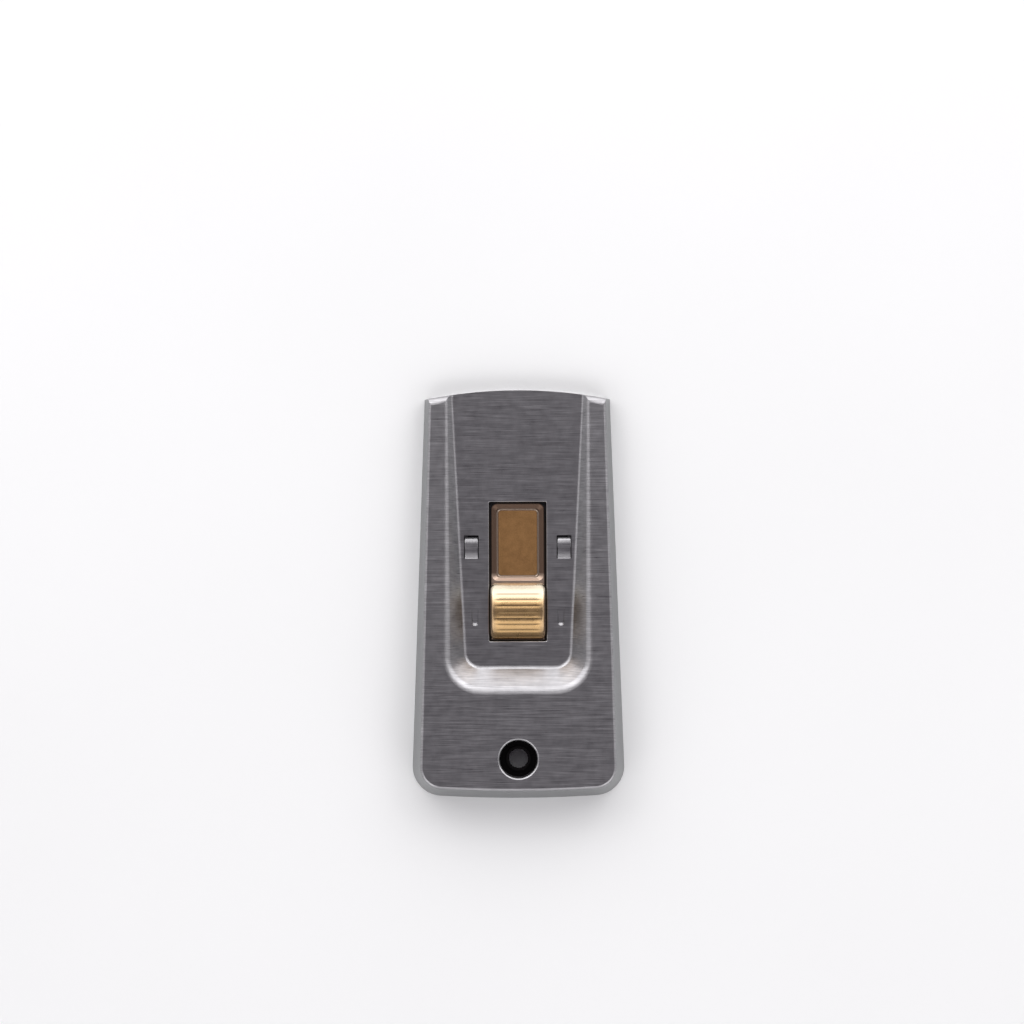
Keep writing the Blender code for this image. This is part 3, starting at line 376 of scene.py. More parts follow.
def turned(profile, origin, tilt=0):
    """A closed block turned about Z, from (radius, height) points that start and end on the axis."""
    bm = bmesh.new()
    ring = [bm.verts.new((radius, 0, height)) for radius, height in profile]
    edges = [bm.edges.new(pair) for pair in zip(ring, ring[1:])]
    bmesh.ops.spin(
        bm, geom=ring + edges, axis=UP, cent=(0, 0, 0), angle=math.tau, steps=72, use_merge=True
    )
    bmesh.ops.remove_doubles(bm, verts=bm.verts, dist=MERGE)
    face_outwards(bm)
    place = Matrix.Translation(origin) @ Matrix.Rotation(tilt, 4, "X")
    bmesh.ops.transform(bm, matrix=place, verts=bm.verts)
    return bm


def ribbon(path, left, right):
    """An open strip across X along a path of (y, z) points."""
    bm = bmesh.new()
    row = [bm.verts.new((left, y, z)) for y, z in path]
    edges = [bm.edges.new(pair) for pair in zip(row, row[1:])]
    grown = bmesh.ops.extrude_edge_only(bm, edges=edges)
    move_grown(bm, grown, (right - left, 0, 0))
    return bm


def look_away(bm, point):
    """Turns the faces of an open surface so that they look away from a point."""
    face_outwards(bm)
    bm.normal_update()
    facing = 0
    for face in bm.faces:
        outward = face.calc_center_median() - Vector(point)
        facing += face.calc_area() * face.normal.dot(outward)
    if facing < 0:
        bmesh.ops.reverse_faces(bm, faces=bm.faces)


def round_rim(bm, radius, chosen):
    """Rounds the sharp edges that a test of their two ends picks out."""
    edges = []
    for edge in bm.edges:
        sharp = len(edge.link_faces) == 2 and edge.calc_face_angle() > SHARP_RIM
        if sharp and chosen(*edge.verts):
            edges.append(edge)
    bmesh.ops.bevel(
        bm, geom=edges, offset=radius, segments=3, profile=0.5, affect="EDGES", material=-1,
        clamp_overlap=True,
    )


def add_piece(name, bm, finish, body, *nodes, sharp=32):
    """A finished piece that rides on a body and stands for CAD nodes."""
    for face in bm.faces:
        face.smooth = True
    for edge in bm.edges:
        edge.smooth = len(edge.link_faces) == 2 and edge.calc_face_angle() < math.radians(sharp)
    obj = mesh_object(name, bm)
    obj.data.materials.append(finish)
    weighted = obj.modifiers.new("weighted_normals", "WEIGHTED_NORMAL")
    weighted.keep_sharp = True
    weighted.weight = 80
    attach(obj, body)
    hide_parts(*nodes)


# Covers

def half_width(y, inward=0):
    """Half width of the body's foot at a place along it, drawn in by an even offset."""
    taper = (FRONT_CORNER - y) * math.tan(SIDE_TAPER)
    return FRONT_HALF_WIDTH + taper - inward / math.cos(SIDE_TAPER)


def ridge_top(y):
    """Height of the ridges and the rear plateau, which lie in one sloping plane."""
    return RIDGE_FRONT_TOP + (FRONT_CORNER - y) * math.tan(WEDGE)


def body_outline(inward):
    """The body's foot, drawn in by an even offset, with its front run out past the blade end."""
    bow = half_width(REAR) * REAR_BOW_SHARE / math.tan(REAR_SLOPE)
    middle = REAR - bow * (1 / math.cos(REAR_SLOPE) - 1) + inward / math.cos(REAR_SLOPE)
    corner = middle + half_width(REAR, inward) * math.tan(REAR_SLOPE)
    side = half_width(corner, inward)
    front = FRONT + OVERRUN
    return rounded_outline([
        (half_width(front, inward), front, 0),
        (-half_width(front, inward), front, 0),
        (-side, corner, REAR_CORNER_RADIUS - inward),
        (0, middle, bow - inward),
        (side, corner, REAR_CORNER_RADIUS - inward),
    ])


def bowed_end():
    """The bowed edge of the blade end, on an outline that is wide of the body elsewhere."""
    chord = FRONT_HALF_WIDTH
    radius = (chord**2 + FRONT_BOW**2) / (2 * FRONT_BOW)
    half_angle = math.asin(chord / radius)
    bow = arc((0, FRONT - radius), radius, math.pi / 2 - half_angle, 2 * half_angle)
    wide, rear = FRONT_HALF_WIDTH - REAR * 2, REAR * 3
    return [(wide, FRONT_CORNER), *bow, (-wide, FRONT_CORNER), (-wide, rear), (wide, rear)]


def recess_half_width(y):
    """Half width of the recess floor at a place along it, between walls at 45 degrees."""
    return RECESS_MOUTH / 2 - (ridge_top(y) - FLOOR)


def recess_outline():
    rear = RECESS_REAR + ridge_top(RECESS_REAR) - FLOOR
    front = FRONT + OVERRUN
    return rounded_outline([
        (recess_half_width(front), front, 0),
        (-recess_half_width(front), front, 0),
        (-recess_half_width(rear), rear, RECESS_CORNER_RADIUS),
        (recess_half_width(rear), rear, RECESS_CORNER_RADIUS),
    ])


def recess_block(height):
    """The recess as a block that widens upwards, with its rear wall leant back past 45 degrees."""
    rise = height - FLOOR
    bm = prism(recess_outline(), FLOOR, height, -rise)
    upper = [vertex for vertex in bm.verts if vertex.co.z > height - MERGE]
    bmesh.ops.translate(bm, vec=(0, -rise * RECESS_REAR_LEAN, 0), verts=upper)
    return bm


def end_block():
    """The room that the cover fills: bowed at the blade end, where the ridges end in round noses."""
    bm = bmesh.new()
    face = flat_face(bm, bowed_end(), -2 * OVERRUN)
    foot = FLOOR + 2 * OVERRUN
    profile = [(0, foot)]
    for x, z in arc((0, 0), 1, 0, math.pi / 2, 9)[1:]:
        profile.append(((1 - x) * NOSE_LENGTH, foot + z * NOSE_HEIGHT))
    above_ridges, clear_run = profile[-1][1] + (FRONT - REAR) * math.tan(WEDGE), 0.069
    profile.append((NOSE_LENGTH + clear_run, above_ridges))
    draw_along(bm, face, profile)
    close(bm)
    face_outwards(bm)
    return bm


def bend_size(edge):
    """Bend of an edge of the front cover's block, which grows with the depth of the recess."""
    middle = (edge.verts[0].co + edge.verts[1].co) / 2
    rearward = min(1, max(0, (FRONT_CORNER - middle.y) / BEND_GROWTH_LENGTH))
    levels = [face.normal.z for face in edge.link_faces]
    if max(levels) > THAT_WAY and min(levels) < 0.4:
        return SIDE_BEND
    bend, growth = RIDGE_BEND if edge.is_convex else FOOT_BEND
    return bend + growth * rearward


def bent(bm):
    """The front cover's block with its bends rounded, the ridges' long ones in growing steps."""
    long_bends = []
    for edge in bm.edges:
        on_ridge = edge.calc_length() > 0.05 and abs(edge.verts[0].co.x) < 0.017
        if on_ridge and edge.calc_face_angle() > 0.4:
            long_bends.append(edge)
    bmesh.ops.bisect_edges(bm, edges=long_bends, cuts=15)
    weight = bm.edges.layers.float.new("bevel_weight_edge")
    for edge in bm.edges:
        normals = [face.normal for face in edge.link_faces]
        kept_sharp = any(way.z < -THAT_WAY or way.y > THAT_WAY for way in normals)
        if not kept_sharp and edge.calc_face_angle() > math.radians(20):
            edge[weight] = bend_size(edge) / WIDEST_BEND
    return modified(bm, "BEVEL", limit_method="WEIGHT", width=WIDEST_BEND, segments=7)


def front_block():
    """The front cover's outer form, closed, with its bends rounded and its blade end set down."""
    height = ridge_top(REAR) + OVERRUN
    run_out = OVERRUN * math.tan(DRAFT)
    drawn_in = (height + OVERRUN) * math.tan(DRAFT)
    bm = prism(body_outline(-run_out), -OVERRUN, height, drawn_in)
    ridge_plane = (0, math.sin(WEDGE), math.cos(WEDGE))
    bisect(bm, bm.faces, (0, FRONT_CORNER, RIDGE_FRONT_TOP), ridge_plane, clear=True)
    close(bm)
    bm = cut(bm, recess_block(height))
    return common(bent(bm), end_block())


def open_end(bm, floor_side):
    """Takes the bottom or top faces and the blade end off a block."""
    gone = []
    for face in bm.faces:
        at_blade_end = face.normal.y > THAT_WAY and abs(face.normal.z) < 0.02
        if face.normal.z * floor_side > THAT_WAY or at_blade_end:
            gone.append(face)
    bmesh.ops.delete(bm, geom=gone, context="FACES")


def along_tab_skin(*ends):
    """Whether an edge runs along a lanced tab on its upper skin, from its slope to its tip."""
    if abs(ends[0].co.x - ends[1].co.x) >= MERGE:
        return False
    for vertex in ends:
        ahead = vertex.co.y - LANCE_TIP + LANCE_CURL * math.sin(LANCE_TURN)
        if ahead < 0:
            skin = LANCE_FLAT
        else:
            skin = LANCE_CREST - LANCE_CURL + math.sqrt(LANCE_CURL**2 - ahead**2)
        if vertex.co.y < LANCE_FOLD + NEAR / 2 or vertex.co.z < skin - NEAR / 2:
            return False
    return True


def lanced_tab(side):
    """A tab lanced out of the recess floor, stepped down at its root and curled under at its tip."""
    path = [(LANCE_FOLD + ahead, LANCE_ROOT + rise) for ahead, rise in LANCE_STEP]
    curl_start = LANCE_TIP - LANCE_CURL * math.sin(LANCE_TURN)
    path += arc((curl_start, LANCE_CREST - LANCE_CURL), LANCE_CURL, math.pi / 2, -LANCE_TURN)
    middle, half = side * LANCE_X, LANCE_HALF_WIDTH - LANCE_SIDE_GAP
    bm = ribbon(path, middle - half, middle + half)
    look_away(bm, (middle, LANCE_FOLD, 0))
    bm = thickened(bm, LANCE_SHEET)
    round_rim(bm, 0.00022, along_tab_skin)
    return bm


def dart_block(side, grow, bottom, top, depth):
    """A U-shaped block with steep sides and a sloped rear, whose underside runs out at its front."""
    bm = bmesh.new()
    rims = []
    x = side * DART_X
    for (half, from_rear, radius), height in ((DART_FOOT, bottom), (DART_MOUTH, top)):
        half += grow
        rear = DART_REAR + from_rear - grow
        outline = rounded_outline([
            (x + half, DART_FRONT, 0), (x - half, DART_FRONT, 0),
            (x - half, rear, radius), (x + half, rear, radius),
        ], 8)
        rims.append(rim_loop(bm, outline, height))
    bridge(bm, rims[0] + rims[1])
    for rim in rims:
        bmesh.ops.contextual_create(bm, geom=rim)
    face_outwards(bm)
    slope = math.atan2(DART_FALL, DART_FRONT - DART_REAR)
    below = (0, math.sin(slope), -math.cos(slope))
    bisect(bm, bm.faces, (0, DART_FRONT, FLOOR - depth), below, clear=True)
    close(bm)
    face_outwards(bm)
    return bm


def with_dart(bm, side):
    """The front cover with a dart: its bulge under the recess floor, and its hollow in the floor."""
    bulge = dart_block(side, DART_BULGE_SHEET, 0.0025, FLOOR_UNDERSIDE + 0.0002, DART_BULGE_DEPTH)
    bm = joined(bm, bulge)
    hollow = dart_block(side, 0, FLOOR - 0.0005, FLOOR + NEAR, DART_DEPTH)
    return cut(bm, hollow)


def hole_lip(radius, rim, foot, upside):
    """Profile of a bore whose mouth flares in a lip, for a turned cutter."""
    steps = arc((0, 0), LIP_RADIUS, LIP_SLOPE, LIP_FOOT_SLOPE - LIP_SLOPE, 8)
    flare = radius + steps[-1][1] - steps[0][1]
    profile = [(0, rim + upside * OVERRUN), (flare, rim + upside * OVERRUN)]
    for x, z in steps:
        profile.append((flare + steps[0][1] - z, rim - upside * (steps[0][0] - x)))
    return profile + [(radius, foot - upside * OVERRUN), (0, foot - upside * OVERRUN)]


def with_hang_hole(bm):
    """The front cover with its hang hole, drawn in at right angles to the plateau."""
    origin = (0, HOLE_Y, ridge_top(HOLE_Y))
    collar, top = HOLE_RADIUS + SHEET, -SHEET / 2
    plug = [(0, top), (collar, top), (collar, -COLLAR_DEPTH), (0, -COLLAR_DEPTH)]
    bm = joined(bm, turned(plug, origin, -WEDGE))
    bore = hole_lip(HOLE_RADIUS, 0, -COLLAR_DEPTH, 1)
    return cut(bm, turned(bore, origin, -WEDGE))


def on_floor(half, rear, front):
    """A test for edges that lie on the recess floor inside a rectangle."""
    def test(*ends):
        return all(
            abs(vertex.co.z - FLOOR) < ON_FLOOR
            and abs(vertex.co.x) < half
            and rear < vertex.co.y < front
            for vertex in ends
        )
    return test


def front_cover(finish):
    bm = front_block()
    open_end(bm, -1)
    look_away(bm, (0, 0, REAR))
    bm = thickened(bm, SHEET)
    bm = cut(bm, box((-0.1, -0.1, -0.1), (0.1, 0.1, 0)))
    low, high = FLOOR_UNDERSIDE - OVERRUN, FLOOR + OVERRUN
    half = WINDOW_HALF_WIDTH
    window = rectangle(-half, half, WINDOW_REAR, WINDOW_FRONT, 0.00025)
    bm = cut(bm, prism(window, low, high))
    for side in (-1, 1):
        left, right = side * LANCE_X - LANCE_HALF_WIDTH, side * LANCE_X + LANCE_HALF_WIDTH
        slot = rectangle(left, right, LANCE_FOLD, LANCE_SLOT_FRONT, 0.0002)
        bm = cut(bm, prism(slot, low, high))
        bm = joined(bm, lanced_tab(side))
        bm = with_dart(bm, side)
    bm = with_hang_hole(bm)
    at_window = on_floor(half + NEAR, WINDOW_REAR - NEAR, WINDOW_FRONT + NEAR)
    round_rim(bm, 0.00024, at_window)
    at_blade_end = on_floor(RECESS_MOUTH / 2 - 0.0008, FRONT_CORNER, FRONT + OVERRUN)
    round_rim(bm, 0.0002, at_blade_end)
    add_piece("front_pressing", bm, finish, "covers", "front_cover")


def guide_rail(bm, side):
    """A bead pressed into the back cover, on whose crest the carrier slides."""
    place, foot, top, drawn = (side * 0.009, 0.00835), SHEET / 2, 0.0011, 0.0008
    width, length, narrower = 0.0026, 0.0566, 0.0005
    bm = joined(bm, prism(stadium(*place, width, length), foot, top, drawn))
    groove = stadium(*place, width - narrower, length - narrower)
    return cut(bm, prism(groove, -foot, top - SHEET, drawn))


def back_cover(finish):
    """Back cover: a plate with a flange round its rear part, which nests in the front cover."""
    inward = SHEET / math.cos(DRAFT) + NESTING_GAP
    bm = prism(body_outline(inward), 0, BACK_HEIGHT, BACK_HEIGHT * math.tan(DRAFT))
    bm = common(bm, prism(bowed_end(), -OVERRUN, BACK_HEIGHT + OVERRUN))
    open_end(bm, 1)
    right_angle = math.pi / 2
    folds = [e for e in bm.edges if not e.is_boundary and e.calc_face_angle() > right_angle]
    bmesh.ops.bevel(
        bm, geom=folds, offset=0.0009, segments=8, profile=0.5, affect="EDGES", material=-1
    )
    flange_front = REAR + BACK_FLANGE_LENGTH
    bisect(bm, bm.faces, (0, flange_front, 0), (0, 1, 0))
    raised = [face for face in bm.faces if max(v.co.z for v in face.verts) > MERGE]
    ahead = [face for face in raised if face.calc_center_median().y > flange_front]
    bmesh.ops.delete(bm, geom=ahead, context="FACES")
    plate = [face for face in bm.faces if max(v.co.z for v in face.verts) < MERGE]
    bmesh.ops.dissolve_faces(bm, faces=plate)
    look_away(bm, (0, 0, 0.1))
    bm = thickened(bm, SHEET)
    for side in (-1, 1):
        bm = guide_rail(bm, side)
    place, collar, top, foot = (0, HOLE_Y, 0), BACK_HOLE_RADIUS + SHEET, 0.0025, SHEET / 2
    plug = [(0, top), (collar, top), (collar, foot), (0, foot)]
    bm = joined(bm, turned(plug, place))
    bm = cut(bm, turned(hole_lip(BACK_HOLE_RADIUS, 0, top, -1), place))
    add_piece("back_pressing", bm, finish, "covers", "back_cover")


# Sliding pieces

def slide_outline():
    """The slide's flat sheet: a tongue in the window, and flanges that run under the recess floor."""
    tongue, flange = TONGUE_HALF_WIDTH, FLANGE_HALF_WIDTH
    shoulder, rear = SLIDE_FRONT - FLANGE_SET_BACK, HUMP_REAR - FLANGE_BEHIND_HUMP
    return rounded_outline([
        (tongue, SLIDE_FRONT, TONGUE_RADIUS), (-tongue, SLIDE_FRONT, TONGUE_RADIUS),
        (-tongue, shoulder, 0), (-flange, shoulder, 0), (-flange, rear, 0),
        (flange, rear, 0), (flange, shoulder, 0), (tongue, shoulder, 0),
    ])


def rim_loop(bm, points, height):
    ring = [bm.verts.new((x, y, height)) for x, y in points]
    return [bm.edges.new(pair) for pair in zip(ring, ring[1:] + ring[:1])]


def bridge(bm, edges):
    """Joins two rims by walls, in millimetres for the while, as Blender takes nearer rims for one."""
    bmesh.ops.scale(bm, vec=(1000, 1000, 1000), verts=bm.verts)
    bmesh.ops.bridge_loops(bm, edges=edges)
    bmesh.ops.scale(bm, vec=(0.001, 0.001, 0.001), verts=bm.verts)


def press(bm, rim, outline, profile, level):
    """Presses walls out of a sheet, along a profile of (inset, height) points that starts at a rim."""
    for inset, height in profile:
        ring = rim_loop(bm, outline(inset), level + height)
        bridge(bm, rim + ring)
        rim = ring
    bmesh.ops.contextual_create(bm, geom=rim)


def opening_outline(half, front, front_radius, rear, rear_radius):
    """Outline of the pan or the hump, with points on the middle line too."""
    return rounded_outline([
        (half, front, front_radius), (0, front, 0), (-half, front, front_radius),
        (-half, rear, rear_radius), (0, rear, 0), (half, rear, rear_radius),
    ], 10)


def pan_outline(inset):
    """The pan drawn in from its rim, by less at its steeper rear wall."""
    half, front = TONGUE_HALF_WIDTH - PAN_MARGIN - inset, SLIDE_FRONT - PAN_MARGIN - inset
    radius = max(PAN_RADIUS - 0.5 * inset, 0.0005)
    return opening_outline(half, front, radius, PAN_REAR + 0.72 * inset, radius)


def hump_outline(inset):
    front_radius, rear_radius = max(0.00136 - inset, 0.00025), max(0.001 - inset, 0.0002)
    half, front, rear = HUMP_HALF_WIDTH - inset, HUMP_FRONT - inset, HUMP_REAR + inset
    return opening_outline(half, front, front_radius, rear, rear_radius)


def hollow_outline(inset):
    return hump_outline(SLIDE_SHEET + inset)


def pan_profile():
    """Wall of the pan from its rim down to its floor, with the raised bead along the floor's border."""
    rim_radius, rim_turn = 0.00018, math.radians(42)
    wall_run, wall_drop, foot_run = 0.00058, 0.0004, 0.0004
    bead_gap, bead_width, bead_height, bead_steps = 0.00006, 0.00032, 0.00012, 8
    profile = [tuple(p) for p in arc((0, -rim_radius), rim_radius, math.pi / 2, -rim_turn)[1:]]
    x, z = profile[-1][0] + wall_run, profile[-1][1] - wall_drop
    profile.append((x, z))
    for share in (0.25, 0.5, 0.75, 1):
        sunk = 1 - (1 - share) ** 2
        profile.append((x + foot_run * share, z - (PAN_DEPTH + z) * sunk))
    x, z = profile[-1]
    for step in range(1, bead_steps + 1):
        share = step / bead_steps
        swell = math.sin(math.pi * share) ** 2
        profile.append((x + bead_gap + bead_width * share, z + bead_height * swell))
    return profile


def crown_rise(x, y):
    """Height of the thumb hump's crown above the slide's sheet: an arch between two ramps."""
    middle, chord = (HUMP_FRONT + HUMP_REAR) / 2, (HUMP_FRONT - HUMP_REAR) / 2
    radius = (chord - HUMP_RAMP) / math.sin(HUMP_RAMP_ANGLE)
    across = min(chord, abs(y - middle))
    round_part = min(across, chord - HUMP_RAMP)
    rise = HUMP_RISE - radius + math.sqrt(radius**2 - round_part**2)
    rise -= (across - round_part) * math.tan(HUMP_RAMP_ANGLE)
    fall_to_sides = 0.1 * (x / HUMP_HALF_WIDTH) ** 2
    return rise * (1 - fall_to_sides)


def hump_rise(x, y, inset):
    """Height of the hump's skin, which rolls over from its wall to its crown."""
    crown = max(0, crown_rise(x, y))
    roll = min(HUMP_ROLL, crown / 2)
    left = max(0, roll - max(0, inset - HUMP_WALL_DRAFT))
    return crown - roll + math.sqrt(roll**2 - left**2)


def rib_rise(x, y):
    """Height of the rounded ribs above the hump's crown."""
    place = (RIBS_FRONT - y) / RIB_PITCH
    if not 0 <= place < RIBS:
        return 0
    end = min(1, max(0, (RIB_HALF_LENGTH - abs(x)) / 0.0012))
    swell = 1 - abs(2 * (place - math.floor(place)) - 1) ** 2.3
    return RIB_HEIGHT * swell * math.sin(math.pi / 2 * end) ** 2


def raise_hump(bm, rim, outline, foot, grid, sheet=0):
    """Draws the hump up out of the slide: the ribbed skin, or the hollow that lies a sheet inside it."""
    roll_steps, beside_middle = 8, 9
    insets = [HUMP_WALL_DRAFT]
    for step in range(1, roll_steps + 1):
        angle = math.pi / 2 * step / roll_steps
        insets.append(HUMP_WALL_DRAFT + HUMP_ROLL * (1 - math.cos(angle)))
    old, old_faces = set(bm.verts), set(bm.faces)
    press(bm, rim, outline, [(inset, inset) for inset in insets], foot)
    along, across = grid
    rows = range(1, round((HUMP_FRONT - HUMP_REAR) / along))
    planes = [((0, HUMP_FRONT - along * row, 0), (0, 1, 0)) for row in rows]
    columns = range(-beside_middle, beside_middle + 1)
    planes += [((across * column, 0, 0), (1, 0, 0)) for column in columns]
    for point, normal in planes:
        fresh = [face for face in bm.faces if face not in old_faces]
        bisect(bm, fresh, point, normal)
    for vertex in bm.verts:
        x, y, z = vertex.co
        inset = z - foot
        if vertex in old or inset < MERGE:
            continue
        height = hump_rise(x, y, inset) - sheet
        if sheet == 0:
            height += rib_rise(x, y) * min(1, inset / HUMP_ROLL)
        vertex.co.z = max(foot + NEAR / 10, SLIDE_TOP + height)


def clinch_tab(side, y):
    """A tab that goes down through the carrier and is folded in beneath it."""
    near, folded = CLINCH_X - SLIDE_SHEET, CLINCH_BOTTOM + SLIDE_SHEET
    top = SLIDE_TOP - 0.0003
    path = [
        (CLINCH_X, top), (CLINCH_X, CLINCH_BOTTOM), (CLINCH_TIP_X, CLINCH_BOTTOM),
        (CLINCH_TIP_X, folded), (near, folded), (near, top),
    ]
    bm = bmesh.new()
    face = bm.faces.new([bm.verts.new((side * x, y - CLINCH_HALF, z)) for x, z in path])
    grown = bmesh.ops.extrude_face_region(bm, geom=[face])
    move_grown(bm, grown, (0, 2 * CLINCH_HALF, 0))
    face_outwards(bm)
    return bm


def merged(bm, *others):
    """One bmesh of several closed ones."""
    for other in others:
        mesh = bpy.data.meshes.new("work")
        other.to_mesh(mesh)
        other.free()
        bm.from_mesh(mesh)
        bpy.data.meshes.remove(mesh)
    return bm


def slide_plate():
    """The slide's flat sheet with its two openings, and the rims of those above and below."""
    bm = prism(slide_outline(), SLIDE_UNDERSIDE, SLIDE_TOP)
    bisect(bm, bm.faces, (0, 0, 0), (1, 0, 0))
    for outline in (pan_outline(0), hump_outline(0)):
        opening = prism(outline, SLIDE_UNDERSIDE - OVERRUN, SLIDE_TOP + OVERRUN)
        bm = cut(bm, opening)
    split = (PAN_REAR + HUMP_FRONT) / 2
    pan_middle, hump_middle = (SLIDE_FRONT + PAN_REAR) / 2, (HUMP_FRONT + HUMP_REAR) / 2
    walls = []
    for face in bm.faces:
        place = face.calc_center_median()
        opening = Vector((0, pan_middle if place.y > split else hump_middle, place.z))
        if abs(face.normal.z) < 0.5 and face.normal.dot(opening - place) > 0:
            walls.append(face)
    bmesh.ops.delete(bm, geom=walls, context="FACES")
    rims = {"pan": [], "bulge": [], "hump": [], "hollow": []}
    for edge in bm.edges:
        if edge.is_boundary:
            place = edge.verts[0].co
            upper, lower = ("pan", "bulge") if place.y > split else ("hump", "hollow")
            rims[upper if place.z > SLIDE_TOP - MERGE else lower].append(edge)
    return bm, rims


def thumb_slide(finish):
    """Thumb slide: its plate, and the upper skin and the plainer underside of its pan and its hump."""
    bm, rims = slide_plate()
    press(bm, rims["pan"], pan_outline, pan_profile(), SLIDE_TOP)
    bulge = [(0.00054, -0.00055), (PAN_DEPTH, -PAN_DEPTH)]
    press(bm, rims["bulge"], pan_outline, bulge, SLIDE_UNDERSIDE)
    raise_hump(bm, rims["hump"], hump_outline, SLIDE_TOP, SKIN_GRID)
    raise_hump(bm, rims["hollow"], hollow_outline, SLIDE_UNDERSIDE, HOLLOW_GRID, SLIDE_SHEET)
    face_outwards(bm)
    tabs = [clinch_tab(side, y) for side in (-1, 1) for y in CLINCH_PLACES]
    add_piece("slide_pressing", merged(bm, *tabs), finish, "slide", "thumb_slide")


def blade(finish):
    """Single-edge blade with a notch at each side, a slot, and a ground and honed cutting edge."""
    half, inner = BLADE_HALF_WIDTH, BLADE_HALF_WIDTH - 0.0031
    notch_rear, notch_front, notch_radius = NOTCH_Y - 0.001, NOTCH_Y + 0.001, 0.0004
    ground_length, ground_off, honed_length, honed_off = 0.0019, 0.5, 0.0007, 0.42
    slot_width, slot_length = 0.002, 0.0056
    outline = mirrored_outline([
        (half, BLADE_REAR + 0.00039, 0), (half, notch_rear, 0), (inner, notch_rear, notch_radius),
        (inner, notch_front, notch_radius), (half, notch_front, 0), (half, CUTTING_EDGE, 0),
    ])
    bm = prism(outline, BLADE_MIDDLE - BLADE_THICKNESS / 2, BLADE_MIDDLE + BLADE_THICKNESS / 2)
    for length in (ground_length, honed_length):
        bisect(bm, bm.faces, (0, CUTTING_EDGE - length, 0), (0, 1, 0))
    for vertex in bm.verts:
        ground = max(0, vertex.co.y - CUTTING_EDGE + ground_length) / ground_length
        honed = max(0, vertex.co.y - CUTTING_EDGE + honed_length) / honed_length
        left = 1 - ground_off * ground - honed_off * honed
        vertex.co.z = BLADE_MIDDLE + (vertex.co.z - BLADE_MIDDLE) * left
    slot = stadium(0, NOTCH_Y, slot_width, slot_length)
    bm = cut(bm, prism(slot, 0.001, ABOVE_CARRIER))
    add_piece("blade_strip", bm, finish, "slide", "blade", sharp=3)


def blade_spine(finish):
    """Strip folded over the blade's rear edge, with a D-shaped stake mark near each end."""
    front, half_height = BLADE_REAR + SPINE_LENGTH, SPINE_HALF_HEIGHT
    bottom, top = BLADE_MIDDLE - half_height, BLADE_MIDDLE + half_height
    fold = arc((BLADE_REAR + half_height, BLADE_MIDDLE), half_height, -math.pi / 2, -math.pi)
    bm = ribbon([(front, bottom), *fold, (front, top)], -BLADE_HALF_WIDTH, BLADE_HALF_WIDTH)
    look_away(bm, (0, front, BLADE_MIDDLE))
    bm = thickened(bm, 0.00025)
    mark_x, mark_y, mark_radius, mark_depth = 0.0166, BLADE_REAR + 0.0029, 0.0009, 0.0001
    bow = arc((0, 0), mark_radius, -math.pi / 2, math.pi)
    for side in (-1, 1):
        mark = [(side * (mark_x - point.x), mark_y + point.y) for point in bow]
        bm = cut(bm, prism(mark, top - mark_depth, top + 0.001, -0.0002))
    add_piece("spine_fold", bm, finish, "slide", "blade_spine")


def carrier_outline():
    """The carrier's wide head, its neck, and the waist that leaves the lock spring room."""
    head, neck, waist = 0.0182, 0.011, 0.0084
    rear, front = SPRING_Y - 0.0021, SPRING_Y + 0.0021
    return mirrored_outline([
        (neck, -0.0238, 0.003), (neck, rear, 0), (waist, rear, 0.0003), (waist, front, 0.0003),
        (neck, front, 0), (neck, HEAD_REAR, 0.001), (head, HEAD_REAR, 0.0006), (head, 0.0338, 0.003),
    ])


def side_box(side, near, far, rear, front, low, high):
    """A box on one side of the middle line, from its near to its far wall."""
    left, right = sorted((side * near, side * far))
    return box((left, rear, low), (right, front, high))


def carrier(finish):
    """Carrier with lugs and stops for the blade, and slots and bores for the tabs and the rivets."""
    bm = prism(carrier_outline(), CARRIER_BOTTOM, CARRIER_TOP)
    foot, lug_top, stop_top = 0.00155, BLADE_MIDDLE + 0.000325, 0.00288
    lug_rear, lug_front = NOTCH_Y - 0.0008, NOTCH_Y + 0.0008
    slot_near, slot_far = CLINCH_X - SLIDE_SHEET - CLINCH_GAP, CLINCH_X + CLINCH_GAP
    slot_half = CLINCH_HALF + CLINCH_GAP
    rivet_x, rivet_radius = 0.0025, 0.0009
    bm = joined(bm, prism(stadium(0, NOTCH_Y, 0.0016, 0.0052), foot, lug_top))
    bore = [(0, ABOVE_CARRIER), (rivet_radius, ABOVE_CARRIER), (rivet_radius, 0), (0, 0)]
    for side in (-1, 1):
        bm = joined(bm, side_box(side, 0.0177, 0.01821, lug_rear, lug_front, foot, lug_top))
        bm = joined(bm, side_box(side, 0.009, 0.016, HEAD_REAR, HEAD_REAR + 0.0005, foot, stop_top))
        for y in CLINCH_PLACES:
            rear, front = y - slot_half, y + slot_half
            bm = cut(bm, side_box(side, slot_near, slot_far, rear, front, 0, ABOVE_CARRIER))
        bm = cut(bm, turned(bore, (side * rivet_x, SPRING_Y, 0)))
    add_piece("carrier_plate", bm, finish, "slide", "blade_carrier")


# Finishes

def finish_nodes(name, roughness):
    """A new metal finish, with its node tree and its shader."""
    finish = bpy.data.materials.new(name)
    finish.use_nodes = True
    tree = finish.node_tree
    shader = tree.nodes["Principled BSDF"]
    shader.inputs["Metallic"].default_value = 1
    shader.inputs["Roughness"].default_value = roughness
    return finish, tree, shader


def add_node(tree, kind, sources=(), **values):
    """A node with its plain values set, and (input, output) pairs linked."""
    node = tree.nodes.new("ShaderNode" + kind)
    for name, value in values.items():
        if hasattr(node, name):
            setattr(node, name, value)
        else:
            node.inputs[name.replace("_", " ")].default_value = value
    for name, output in sources:
        tree.links.new(output, node.inputs[name])
    return node


def object_place(tree):
    return add_node(tree, "TexCoord").outputs["Object"]


def separated(tree, vector):
    return add_node(tree, "SeparateXYZ", [("Vector", vector)]).outputs


